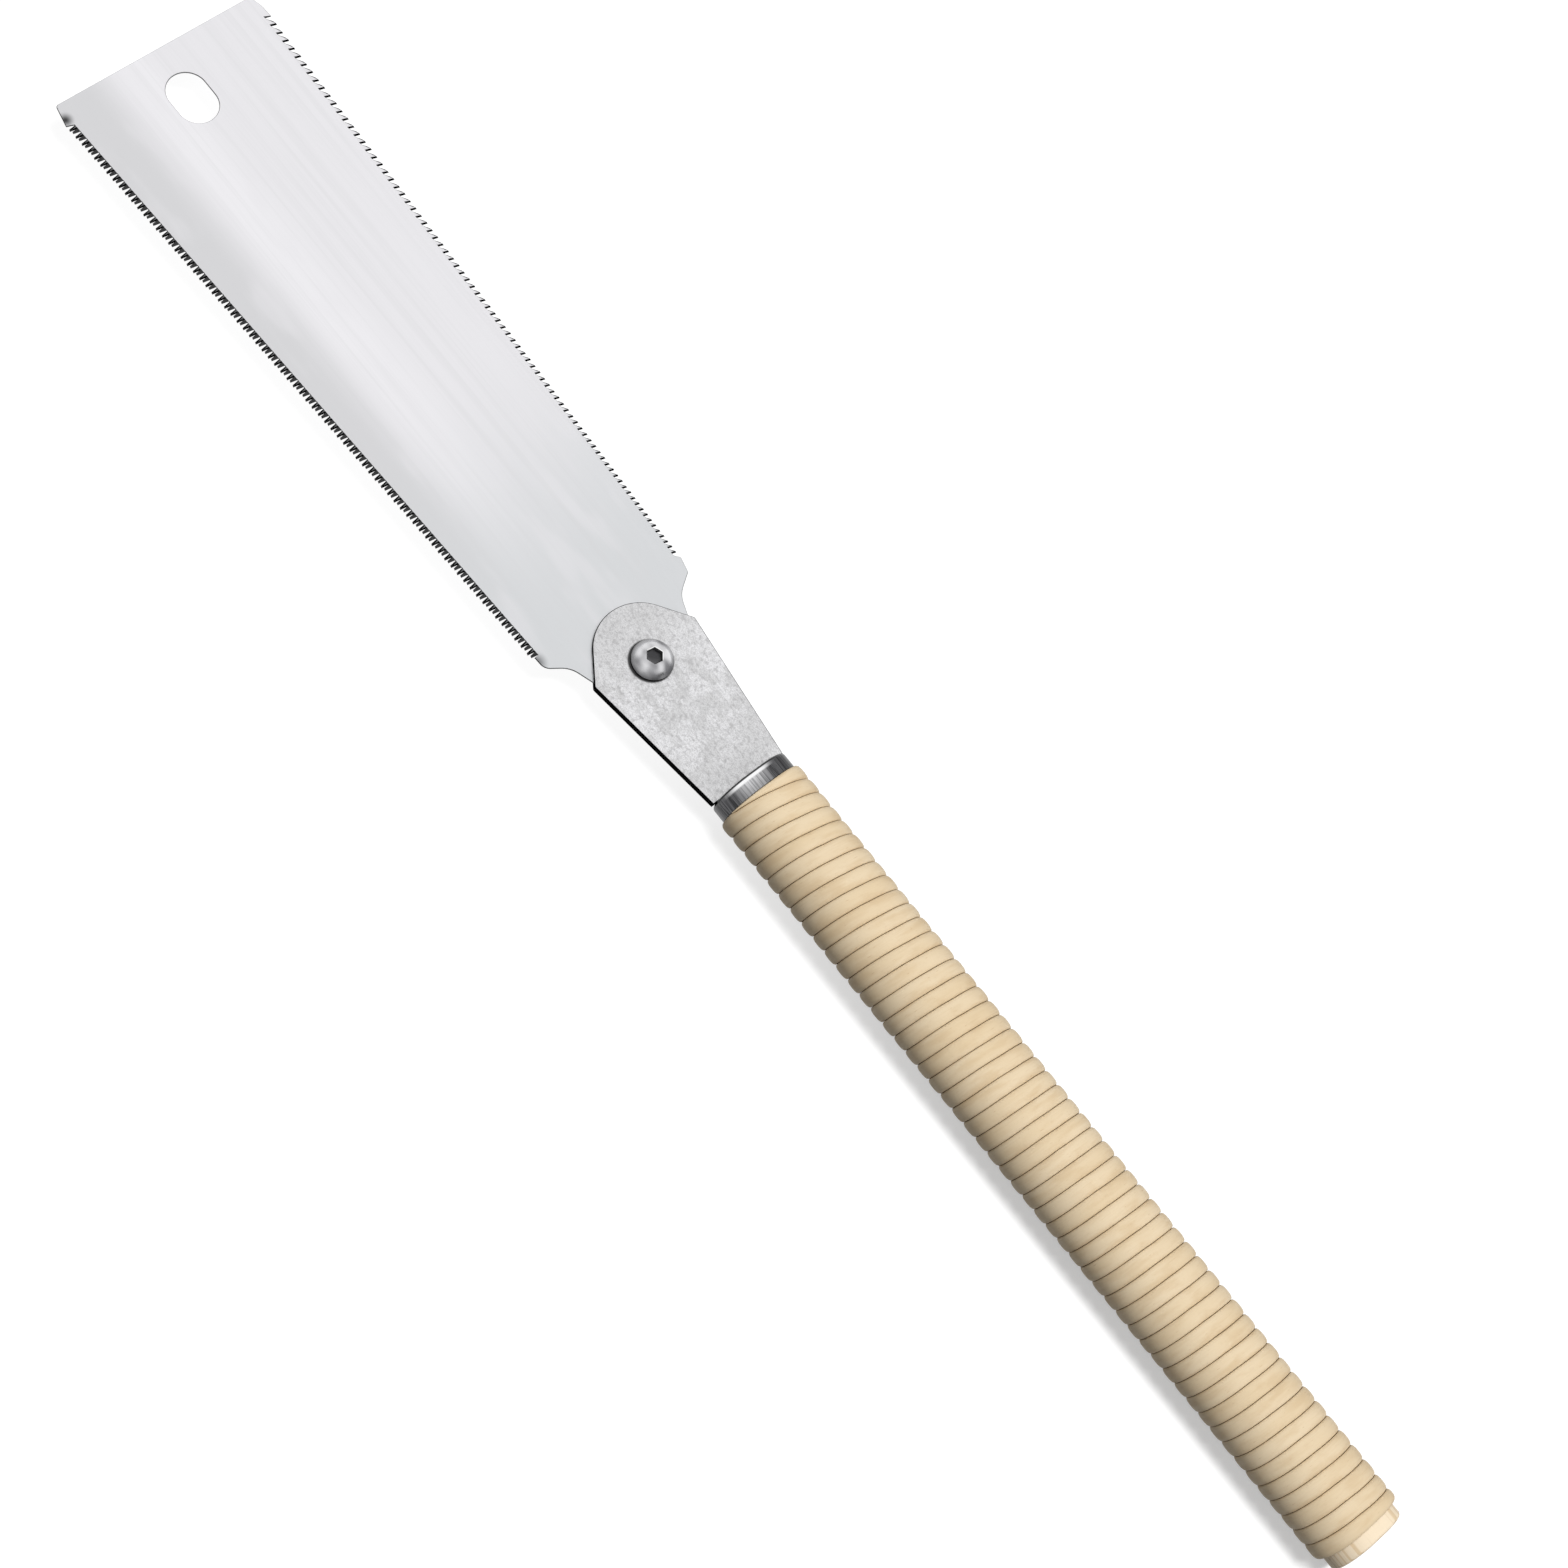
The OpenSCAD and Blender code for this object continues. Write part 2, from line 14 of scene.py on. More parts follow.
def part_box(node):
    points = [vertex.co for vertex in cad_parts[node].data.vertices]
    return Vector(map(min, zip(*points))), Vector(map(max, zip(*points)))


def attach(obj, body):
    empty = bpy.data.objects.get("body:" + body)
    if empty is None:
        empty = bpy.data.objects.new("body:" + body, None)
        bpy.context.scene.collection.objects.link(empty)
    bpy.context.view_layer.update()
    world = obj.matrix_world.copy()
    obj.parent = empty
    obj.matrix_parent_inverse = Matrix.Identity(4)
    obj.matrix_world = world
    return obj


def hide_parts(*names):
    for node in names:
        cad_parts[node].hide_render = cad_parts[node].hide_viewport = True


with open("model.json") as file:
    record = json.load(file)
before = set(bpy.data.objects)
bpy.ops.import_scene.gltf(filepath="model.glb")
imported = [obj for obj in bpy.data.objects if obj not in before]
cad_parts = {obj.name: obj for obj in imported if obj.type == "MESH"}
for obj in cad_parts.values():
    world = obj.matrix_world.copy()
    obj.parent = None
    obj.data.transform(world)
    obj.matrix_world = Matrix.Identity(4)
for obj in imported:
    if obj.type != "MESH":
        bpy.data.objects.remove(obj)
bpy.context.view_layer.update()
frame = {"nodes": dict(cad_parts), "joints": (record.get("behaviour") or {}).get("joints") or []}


# Core of the handle: a planed oval bar of pale, straight-grained softwood, slotted for the clamp's tail.
# It keeps its CAD shape, and only the last few millimetres at the butt are left bare.
MM = 0.001
screw_turn = next(joint for joint in frame["joints"] if joint["name"] == "screw_turn")
screw_place = np.array(screw_turn["pos_m"])


def srgb(red, green, blue):
    """Colour of 0 to 255 as it looks on a screen, turned into the linear colour of a shader socket."""
    share = np.array([red, green, blue]) / 255
    return (*np.where(share < 0.04045, share / 12.92, ((share + 0.055) / 1.055) ** 2.4), 1.0)


class Finish:
    """A Principled shader and the steps that feed it. A step takes numbers, colours or the sockets of
    earlier steps, adds one node, and gives back the socket of its result."""

    def __init__(self, name, **constants):
        self.material = bpy.data.materials.new(name)
        self.material.use_nodes = True
        self.tree = self.material.node_tree
        self.shader = self.tree.nodes["Principled BSDF"]
        for socket, value in constants.items():
            self.feed(self.shader.inputs[socket.replace("_", " ")], value)

    def feed(self, socket, value):
        if isinstance(value, bpy.types.NodeSocket):
            self.tree.links.new(value, socket)
        else:
            socket.default_value = value

    def step(self, kind, inputs, output=0, **settings):
        made = self.tree.nodes.new("ShaderNode" + kind)
        for name, value in settings.items():
            setattr(made, name, value)
        for socket, value in inputs.items():
            self.feed(made.inputs[socket], value)
        return made.outputs[output]

    def where(self, *sizes):
        """Place on the piece, counted in grains of the given sizes in millimetres along X, Y and Z."""
        place = self.step("TexCoord", {}, "Object")
        return self.step("Mapping", {"Vector": place, "Scale": [1 / (size * MM) for size in sizes]})

    def from_screw(self, axis):
        """Distance from the clamp screw along one axis, in millimetres."""
        place = self.step("SeparateXYZ", {"Vector": self.step("TexCoord", {}, "Object")}, axis)
        return self.sums("DIVIDE", self.sums("SUBTRACT", place, screw_place["XYZ".index(axis)]), MM)

    def away_from(self, point):
        """Distance from a point of the frame, in millimetres."""
        inputs = {0: self.step("TexCoord", {}, "Object"), 1: point}
        return self.sums("DIVIDE", self.step("VectorMath", inputs, "Value", operation="DISTANCE"), MM)

    def noise(self, place, detail=2.0, roughness=0.5):
        """Soft noise with one hump to a grain, about 0.3 to 0.7."""
        inputs = {"Vector": place, "Scale": 1.0, "Detail": detail, "Roughness": roughness}
        return self.step("TexNoise", inputs)

    def between(self, value, low, high, to_low=0.0, to_high=1.0):
        """A value's way from low to high, eased, as a way from to_low to to_high."""
        inputs = {"Value": value, 1: low, 2: high, 3: to_low, 4: to_high}
        return self.step("MapRange", inputs, interpolation_type="SMOOTHSTEP")

    def sums(self, operation, first, second):
        return self.step("Math", {0: first, 1: second}, operation=operation)

    def mix(self, share, first, second):
        """First colour at share 0 and second at share 1."""
        return self.step("Mix", {0: share, 6: first, 7: second}, 2, data_type="RGBA")

    def bump(self, height, depth):
        """Relief of the given depth in millimetres from a height of 0 to 1."""
        normal = self.step("Bump", {"Height": height, "Distance": depth * MM, "Strength": 1.0})
        self.feed(self.shader.inputs["Normal"], normal)

    def colour(self, value):
        self.feed(self.shader.inputs["Base Color"], value)

    def roughness(self, value):
        self.feed(self.shader.inputs["Roughness"], value)

    def blacken(self, tone, dark):
        """Tone on plain metal and a dull dark colour on cut or ground metal and on faces painted dark as
        shade, by the share of each face.
        """
        ground_and_shade = self.step("Attribute", {}, "Fac", attribute_name="ground_and_shade")
        shine = self.sums("SUBTRACT", 1.0, ground_and_shade)
        self.colour(self.mix(ground_and_shade, tone, dark))
        self.feed(self.shader.inputs["Metallic"], shine)
        self.feed(self.shader.inputs["Specular IOR Level"], self.sums("MULTIPLY", shine, 0.5))


def saw_box(node):
    """Lowest and highest corner of a CAD node in millimetres from the clamp screw."""
    return [(np.array(corner) - screw_place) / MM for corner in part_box(node)]


def wood_finish():
    """Growth rings round a heart beside the bar, which run as lines along it, with fine fibres between."""
    ring_width, wave_period, heart, stretch = 0.9, 0.314, (0.0, 0.03, 0.03), (30, 1000, 1000)
    wave = {"Scale": wave_period / ring_width, "Distortion": 1.6, "Detail": 1.5, "Detail Scale": 0.6}
    early, late, fibre_shade = srgb(236, 219, 192), srgb(218, 195, 160), srgb(190, 160, 120)
    wood = Finish("bare_wood")
    place = wood.step("TexCoord", {}, "Object")
    heartwards = wood.step("Mapping", {"Vector": place, "Location": heart, "Scale": stretch})
    rings = wood.step(
        "TexWave", {"Vector": heartwards, **wave}, "Fac", wave_type="RINGS", rings_direction="X",
    )
    fibres = wood.noise(wood.where(9, 0.3, 0.3), detail=3)
    tone = wood.mix(wood.between(rings, 0.55, 1.0), early, late)
    wood.colour(wood.mix(wood.between(fibres, 0.56, 0.8, 0.0, 0.45), tone, fibre_shade))
    wood.roughness(wood.between(fibres, 0.3, 0.7, 0.52, 0.68))
    wood.bump(fibres, 0.03)
    return wood.material


def dress_cad(node, material):
    """A CAD node whose shape is right stays, and takes the material in place of its own."""
    mesh = frame["nodes"][node].data
    mesh.materials.clear()
    mesh.materials.append(material)


dress_cad("handle_core", wood_finish())


# Packing strip and pin: the strip of plain sheet that keeps the two leaves a blade's thickness apart, and
# the steel pin driven across the tail to hold it in the wood. Both keep their CAD shapes.
def mill_steel_finish():
    """Dark rolled steel: lengthwise rolling marks over cloudy scale."""
    deep, wear_and_highlight = srgb(20, 20, 21), srgb(44, 44, 46)
    steel = Finish("mill_steel", Metallic=1.0)
    scale = steel.noise(steel.where(4, 2.5, 2.5), detail=4)
    marks = steel.noise(steel.where(12, 0.2, 0.2))
    cloudy, lined = steel.between(scale, 0.3, 0.7, 0.0, 0.7), steel.between(marks, 0.3, 0.7, 0.0, 0.3)
    steel.colour(steel.mix(steel.sums("ADD", cloudy, lined), deep, wear_and_highlight))
    steel.roughness(steel.between(scale, 0.3, 0.7, 0.38, 0.55))
    steel.bump(marks, 0.01)
    return steel.material


mill_steel = mill_steel_finish()
dress_cad("packing_strip", mill_steel)
dress_cad("tang_pin", mill_steel)


# Leaves of the clamp: two like blanks of zinc-coated sheet with a round nose, sheared sides and a long tail
# that goes into the wood. Their edges are a little rounded, and painted near black as shade.
ferrule_x = saw_box("ferrule")[0][0]
leaf_low, leaf_high = saw_box("front_leaf")
nose_r = 16.7
corner_x = -3.5
corner_r = 1.1
foot_w = 29.2
tail_w = 15.0
screw_hole_r = 4.2
pin_hole_r = 1.6
leaf_edge = 0.24
merge_distance = 0.002


def arc(centre, radius, start, end, steps):
    """Points of a circle from one angle to another, in degrees."""
    turn = np.radians(np.linspace(start, end, steps + 1))
    return np.array(centre) + radius * np.stack([np.cos(turn), np.sin(turn)], axis=1)


def fillet(before, corner, after, radius, steps=8):
    """Corner replaced by an arc that touches both of its sides: points spread evenly between the two
    touching points, then pushed out to the radius round the arc's centre on the bisector."""
    before, corner, after = (np.array(point, float) for point in (before, corner, after))
    first = (before - corner) / np.linalg.norm(before - corner)
    second = (after - corner) / np.linalg.norm(after - corner)
    half = np.arccos(first @ second) / 2
    middle = corner + (first + second) / np.linalg.norm(first + second) * radius / sin(half)
    ends = corner + np.array([first, second]) * radius / tan(half) - middle
    share = np.linspace(0, 1, steps + 1)[:, None]
    spokes = ends[0] * (1 - share) + ends[1] * share
    return middle + radius * spokes / np.linalg.norm(spokes, axis=1, keepdims=True)


def inset(loop, distance):
    """Plan loop moved to its left by a distance, each point along the bisector of its two sides."""
    along = np.roll(loop, -1, axis=0) - loop
    along /= np.linalg.norm(along, axis=1, keepdims=True)
    left = np.stack([-along[:, 1], along[:, 0]], axis=1)
    before = np.roll(left, 1, axis=0)
    return loop + distance * (left + before) / (1 + (left * before).sum(axis=1, keepdims=True))


def at_height(loop, z):
    """Plan points carried to a height."""
    return np.column_stack([loop, np.broadcast_to(z, len(loop))])


def grid_faces(rows, columns, start=0, closed=False):
    """Quads of a grid of points whose columns join up in a ring, and whose rows do so where it is closed."""
    here = start + np.arange(rows * columns).reshape(rows, columns)
    beside = np.roll(here, -1, axis=1)
    last = rows if closed else rows - 1
    above, above_beside = np.roll(here, -1, axis=0)[:last], np.roll(beside, -1, axis=0)[:last]
    return np.stack([here[:last], beside[:last], above_beside, above], axis=-1).reshape(-1, 4)


def fill_faces(loops, starts):
    """Triangles that fill the first loop round the others, with the number of each loop's first point."""
    numbers = np.concatenate([start + np.arange(len(loop)) for loop, start in zip(loops, starts)])
    flat = [[Vector((*point, 0.0)) for point in loop] for loop in loops]
    return numbers[np.array(tessellate_polygon(flat))]


def rim_points(loop, face_loop, low, high, edge):
    """Four rows round a loop, with its edges taken off: upper face, upper and lower side, and lower face."""
    return np.concatenate([
        at_height(face_loop, high), at_height(loop, high - edge),
        at_height(loop, low + edge), at_height(face_loop, low),
    ])


def add_object(name, data):
    """Object that puts a mesh, lamp or camera into the scene."""
    made = bpy.data.objects.new(name, data)
    bpy.context.scene.collection.objects.link(made)
    return made


def new_piece(name, points, face_groups, body, slot, material, node, smooth_below=32, uv=None):
    """Closed mesh from points in saw millimetres and groups of faces with the share of each group that is
    dark, for cut or ground metal and for painted shade: doubles are merged, faces turned outwards, and edges
    sharp above an angle."""
    mesh = bpy.data.meshes.new(name)
    faces = [face for group, ground_and_shade in face_groups for face in group.tolist()]
    mesh.from_pydata((screw_place + points * MM).tolist(), [], faces)
    ground_and_shade = np.concatenate([np.full(len(group), ground_and_shade) for group, ground_and_shade in face_groups])
    mesh.attributes.new("ground_and_shade", "FLOAT", "FACE").data.foreach_set("value", ground_and_shade)
    if uv is not None:
        corners = np.empty(len(mesh.loops), int)
        mesh.loops.foreach_get("vertex_index", corners)
        mesh.uv_layers.new(name="lay").data.foreach_set("uv", uv[corners].ravel())
    work = bmesh.new()
    work.from_mesh(mesh)
    bmesh.ops.remove_doubles(work, verts=work.verts, dist=merge_distance * MM)
    bmesh.ops.recalc_face_normals(work, faces=work.faces)
    work.to_mesh(mesh)
    work.free()
    mesh.polygons.foreach_set("use_smooth", np.ones(len(mesh.polygons), bool))
    mesh.set_sharp_from_angle(angle=radians(smooth_below))
    mesh.materials.append(material)
    piece = add_object(name, mesh)
    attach(piece, body)
    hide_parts(node)


def leaf_outline():
    """One side from the nose to the tail's end: an arc, the flank that touches it, a rounded corner, the
    tapering side, the foot and the tail; mirrored and joined into a loop that runs anticlockwise."""
    nose_x = leaf_low[0] + nose_r
    corner = np.array([corner_x, leaf_high[1]])
    reach = corner - (nose_x, 0)
    touch = np.degrees(np.arctan2(reach[1], reach[0]) + np.arccos(nose_r / np.linalg.norm(reach)))
    nose = arc((nose_x, 0), nose_r, 180, touch, 28)
    foot = np.array([ferrule_x, foot_w / 2])
    tail = np.array([[ferrule_x, tail_w / 2], [leaf_high[0], tail_w / 2]])
    side = np.concatenate([nose, fillet(nose[-1], corner, foot, corner_r), [foot], tail])
    return np.concatenate([side[1:] * (1, -1), side[::-1]])


def hole_loop(x, radius, sides):
    """Circle of a number of sides on the saw's axis, clockwise."""
    return arc((x, 0), radius, 360, 360 / sides, sides - 1)


def leaf_mesh(low, high):
    """Sheet between two heights: the outline and both holes carried through a rim of four rows, and the two
    faces filled between the rims. The rim and the face that lies on the blade are painted dark as shade."""
    pin_x = np.mean([corner[0] for corner in saw_box("tang_pin")])
    loops = [leaf_outline(), hole_loop(0, screw_hole_r, 72), hole_loop(pin_x, pin_hole_r, 24)]
    face_loops = [inset(loop, leaf_edge) for loop in loops]
    points, sides, edges, starts = [], [], [], []
    for loop, face_loop in zip(loops, face_loops):
        start, count = sum(len(rows) for rows in points), len(loop)
        points.append(rim_points(loop, face_loop, low, high, leaf_edge))
        rim = grid_faces(4, count, start)
        edges += [rim[:count], rim[2 * count:]]
        sides.append(rim[count:2 * count])
        starts.append(start)
    top = fill_faces(face_loops, starts)
    bottom = fill_faces(face_loops, [start + 3 * len(loop) for start, loop in zip(starts, loops)])
    inner, outer = (bottom, top) if low > 0 else (top, bottom)
    # Painted shade: the sides, the taken-off edges and the face on the blade take the dark colour.
    groups = [(np.concatenate(sides + edges), 1.0), (inner, 0.9), (outer, 0.0)]
    return np.concatenate(points), groups


def zinc_finish():
    """Mottled zinc: fine grains and small spots over soft clouds and faint rolling lines, duller at the nose
    and the foot, with painted light on the foot beside the ferrule, a painted shadow round the screw's head,
    and edges painted near black as shade."""
    pale, dull, painted_light = srgb(241, 241, 243), srgb(221, 221, 222), srgb(238, 238, 239)
    spot, painted_shade = srgb(170, 169, 170), srgb(12, 12, 13)
    zinc = Finish("zinc_coat")
    clouds = zinc.noise(zinc.where(6, 5, 6), detail=5, roughness=0.6)
    spots = zinc.noise(zinc.where(1.6, 1.3, 1.3), detail=3)
    grains = zinc.noise(zinc.where(0.42, 0.36, 0.4), detail=3, roughness=0.7)
    lines = zinc.noise(zinc.where(14, 0.35, 1))
    tone = zinc.mix(zinc.between(clouds, 0.4, 0.62), pale, dull)
    along = zinc.from_screw("X")
    tone = zinc.mix(zinc.between(along, -16.0, 8.0, 0.8, 0.0), tone, dull)
    tone = zinc.mix(zinc.between(along, 28.0, 44.0, 0.0, 0.8), tone, dull)
    # Painted light: lighter on the foot, beside the ferrule.
    tone = zinc.mix(zinc.between(along, 43.0, 48.0, 0.0, 0.8), tone, painted_light)
    tone = zinc.mix(zinc.between(spots, 0.46, 0.72, 0.0, 0.45), tone, spot)
    tone = zinc.mix(zinc.between(grains, 0.4, 0.66, 0.0, 0.55), tone, spot)
    tone = zinc.mix(zinc.between(lines, 0.45, 0.75, 0.0, 0.2), tone, spot)
    # Painted shadow: a dark ring round the screw's head, set off towards the crosscut side so that it shows
    # there.
    head_shadow_centre = screw_place + np.array([-0.15, -0.55, 0]) * MM
    tone = zinc.mix(zinc.between(zinc.away_from(head_shadow_centre), 7.2, 7.9, 0.9, 0.0), tone, painted_shade)
    zinc.blacken(tone, painted_shade)
    zinc.roughness(zinc.between(spots, 0.35, 0.7, 0.40, 0.52))
    zinc.bump(zinc.sums("ADD", spots, grains), 0.012)
    return zinc.material


zinc_coat = zinc_finish()
for leaf in ("front_leaf", "back_leaf"):
    low, high = (corner[2] for corner in saw_box(leaf))
    new_piece(leaf + "_sheet", *leaf_mesh(low, high), "handle", "zinc_sheet", zinc_coat, leaf)


# Ferrule: a cap pressed from dark steel over the end of the wood, with a rounded shoulder and a slot for the
# tail. Drawing it through the die left fine bright and dark lines along its barrel.
ferrule_low, ferrule_high = saw_box("ferrule")
core_gap, slot_gap = 0.05, 0.1
ferrule_r = ferrule_high[2]
oval_side = ferrule_high[1] - ferrule_r
ferrule_in_r = saw_box("handle_core")[1][2] + core_gap
ferrule_face_t = 1.0
shoulder_r = 1.4
mouth_edge = 0.15
tail_slot = np.array([tail_w / 2, leaf_high[2]]) + slot_gap
ring_columns = 128


def oval_rings(radius, x):
    """Rings along X, one for each radius and place: half a circle round each of two axes that lie side by
    side, joined by flats over and under the middle."""
    turn = np.concatenate([np.linspace(0, pi, ring_columns // 2), np.linspace(pi, 2 * pi, ring_columns // 2)])
    axis = np.repeat([oval_side, -oval_side], ring_columns // 2)
    radius, x = np.broadcast_arrays(np.atleast_1d(radius)[:, None], np.atleast_1d(x)[:, None])
    return np.stack(np.broadcast_arrays(x, axis + radius * np.sin(turn), radius * np.cos(turn)), axis=-1)


def slot_rings(x):
    """Rings round the tail's slot: the oval ring's directions, cut off at the slot's sides."""
    rings = oval_rings(np.full(len(x), ferrule_r), np.array(x))
    rings[..., 1:] = np.clip(rings[..., 1:], -tail_slot, tail_slot)
    return rings


def ferrule_mesh():
    """Oval rings from the mouth over the barrel and the quarter-round shoulder to the face, into the slot,
    and back along the inside to the mouth."""
    front, rear = ferrule_low[0], ferrule_high[0]
    quarter = np.linspace(0, pi / 2, 9)
    outside = oval_rings(
        np.concatenate([[ferrule_r - mouth_edge, ferrule_r], ferrule_r - shoulder_r * (1 - np.cos(quarter))]),
        np.concatenate([[rear, rear - mouth_edge], front + shoulder_r * (1 - np.sin(quarter))]),
    )
    inside = oval_rings(np.full(2, ferrule_in_r), np.array([front + ferrule_face_t, rear]))
    rings = np.concatenate([outside, slot_rings([front, front + ferrule_face_t]), inside])
    return rings.reshape(-1, 3), [(grid_faces(*rings.shape[:2], closed=True), 0.0)]


def ferrule_finish():
    """Dark drawn steel: bright and dark lines along the barrel, with painted highlights along the barrel a
    little to the crosscut side of its crown and over the middle of the shoulder, and painted shade, black, in
    the fold beside the leaf and towards the two ends of the oval."""
    black, deep, mid = srgb(20, 20, 21), srgb(56, 56, 58), srgb(112, 112, 114)
    bright, wear_and_highlight = srgb(222, 222, 224), srgb(252, 252, 253)
    highlight_y, fold = -3.5, ferrule_low[0] + 0.75
    steel = Finish("drawn_steel", Metallic=1.0)
    bands = steel.noise(steel.where(26, 0.6, 0.6), detail=4, roughness=0.65)
    scratches = steel.noise(steel.where(7, 0.14, 0.14), detail=2)
    from_highlight = steel.sums("ABSOLUTE", steel.sums("SUBTRACT", steel.from_screw("Y"), highlight_y), 0.0)
    along = steel.from_screw("X")
    tone = steel.mix(steel.between(bands, 0.34, 0.66), deep, mid)
    tone = steel.mix(steel.between(scratches, 0.58, 0.8, 0.0, 0.5), tone, bright)
    # Painted highlight: a band along the barrel, fading towards the rear.
    highlight_band = steel.between(from_highlight, 1.5, 7.5, 1.0, 0.0)
    painted_light = steel.sums("MULTIPLY", highlight_band, steel.between(bands, 0.3, 0.6, 0.4, 1.0))
    fading = steel.between(along, ferrule_low[0] + 1.0, ferrule_high[0], 0.95, 0.5)
    tone = steel.mix(steel.sums("MULTIPLY", painted_light, fading), tone, bright)
    # Painted highlight over the middle of the shoulder.
    on_shoulder = steel.between(along, fold + 0.7, fold + 1.4, 1.0, 0.0)
    in_middle = steel.between(from_highlight, 3.5, 10.0, 1.0, 0.0)
    tone = steel.mix(steel.sums("MULTIPLY", on_shoulder, in_middle), tone, wear_and_highlight)
    # Painted shade: black towards the two ends of the oval, then in the fold beside the leaf.
    tone = steel.mix(steel.between(from_highlight, 7.0, 13.0, 0.0, 0.6), tone, black)
    steel.colour(steel.mix(steel.between(along, fold - 0.15, fold + 0.15, 0.95, 0.0), tone, black))
    steel.roughness(steel.between(bands, 0.3, 0.7, 0.26, 0.38))
    steel.bump(scratches, 0.008)
    return steel.material


new_piece("ferrule_cap", *ferrule_mesh(), "handle", "ferrule_steel", ferrule_finish(), "ferrule")


# Rattan wrap: one strip of split cane, smooth skin outwards, wound tight round the whole handle in fifty-one
# turns. It starts as a point behind the ferrule, slants over the first turns, and is trimmed at the butt.
wrap_low, wrap_high = saw_box("rattan_wrap")
wrap_r = wrap_high[2]
wrap_pitch = 5.62
wrap_turns = 51
seam = 0.06
strip_t = 1.8
strip_edge_t = 0.6
strip_start_w = 0.4
crown_flatness, crown_round = 3, 0.42
slant = 1.8
slant_turns = 26
wavers, settling_turns = [(0.06, 2.31, 0.7), (0.05, 6.9, 0.0), (0.03, 17.3, 2.0)], 3
thinning, thinning_rates = 0.025, (3.7, 0.83)
round_steps = 6
turn_steps = 2 * (round_steps + 1)
start_step = turn_steps - 3
closing_steps = 8
fineness = 6


def cane_way(step):
    """Place of the strip's middle line round the handle at a step: half a circle round one side axis in
    equal steps, one step over the flat, and the same round the other side. Gives angle and axis."""
    step = (step + start_step) % turn_steps
    half = np.floor(step / (round_steps + 1))
    within = step - half * (round_steps + 1)
    turn = pi * (half + np.minimum(within, round_steps) / round_steps)
    axis = oval_side * (1 - 2 * half) * (1 - 2 * np.maximum(within - round_steps, 0))
    return turn, axis


def side_share(step):
    """Place of the strip across the handle: -1 at the crosscut side and 1 at the rip side."""
    turn, axis = cane_way(step)
    return (axis + wrap_r * np.sin(turn)) / (oval_side + wrap_r)


def seam_x(step):
    """Rear edge of the strip: an even advance, a slant that moves it forwards at the crosscut side and
    backwards at the rip side and fades out, and a slight waver of the winder's hand."""
    turns = step / turn_steps
    lean = slant * np.maximum(0, 1 - turns / slant_turns) * side_share(step)
    first_lean = slant * side_share(0)
    waver = sum(size * np.sin(rate * turns + phase) for size, rate, phase in wavers)
    start = wrap_low[0] + strip_start_w - first_lean
    return start + wrap_pitch * turns + lean + waver * np.minimum(1, turns / settling_turns)


def cane_mesh():
    """Crowned section carried along the winding: its width fills the room between the seam one turn back
    and the seam here, its height is a superellipse over a thin edge, and the handle's rest cuts it flat."""
    share = np.array([0, 0.015, 0.05, 0.12, 0.24, 0.38, 0.5, 0.62, 0.76, 0.88, 0.95, 0.985, 1, 1, 0])
    rise = (1 - np.abs(2 * share - 1) ** crown_flatness) ** crown_round
    height = strip_edge_t + (strip_t - strip_edge_t) * rise
    height[-2:] = 0
    step = np.arange((wrap_turns * turn_steps + closing_steps) * fineness + 1) / fineness
    turn, axis = (value[:, None] for value in cane_way(step))
    rear = np.minimum(seam_x(step), wrap_high[0])
    front = np.maximum(seam_x(step - turn_steps) + seam, wrap_low[0])
    front = np.where(step < turn_steps, wrap_low[0], front)
    fast, slow = (rate * step / turn_steps for rate in thinning_rates)
    thickness = 1 - thinning * (1 + np.sin(fast) * np.sin(slow + 1))
    x = front[:, None] + (rear - front)[:, None] * share
    radius = wrap_r - strip_t + height * np.where(share * (1 - share) > 0, thickness[:, None], 1)
    z = np.maximum(radius * np.cos(turn), wrap_low[2])
    points = np.stack(np.broadcast_arrays(x, axis + radius * np.sin(turn), z), axis=-1)
    rows, columns = points.shape[:2]
    turn_length = 2 * pi * wrap_r + 4 * oval_side
    lay = np.stack(np.broadcast_arrays(step[:, None] / turn_steps * turn_length * MM, share), axis=-1)
    ends = np.array([np.arange(columns)[::-1], (rows - 1) * columns + np.arange(columns)])
    groups = [(grid_faces(rows, columns), 0.0), (ends, 0.0)]
    return points.reshape(-1, 3), groups, lay.reshape(-1, 2)


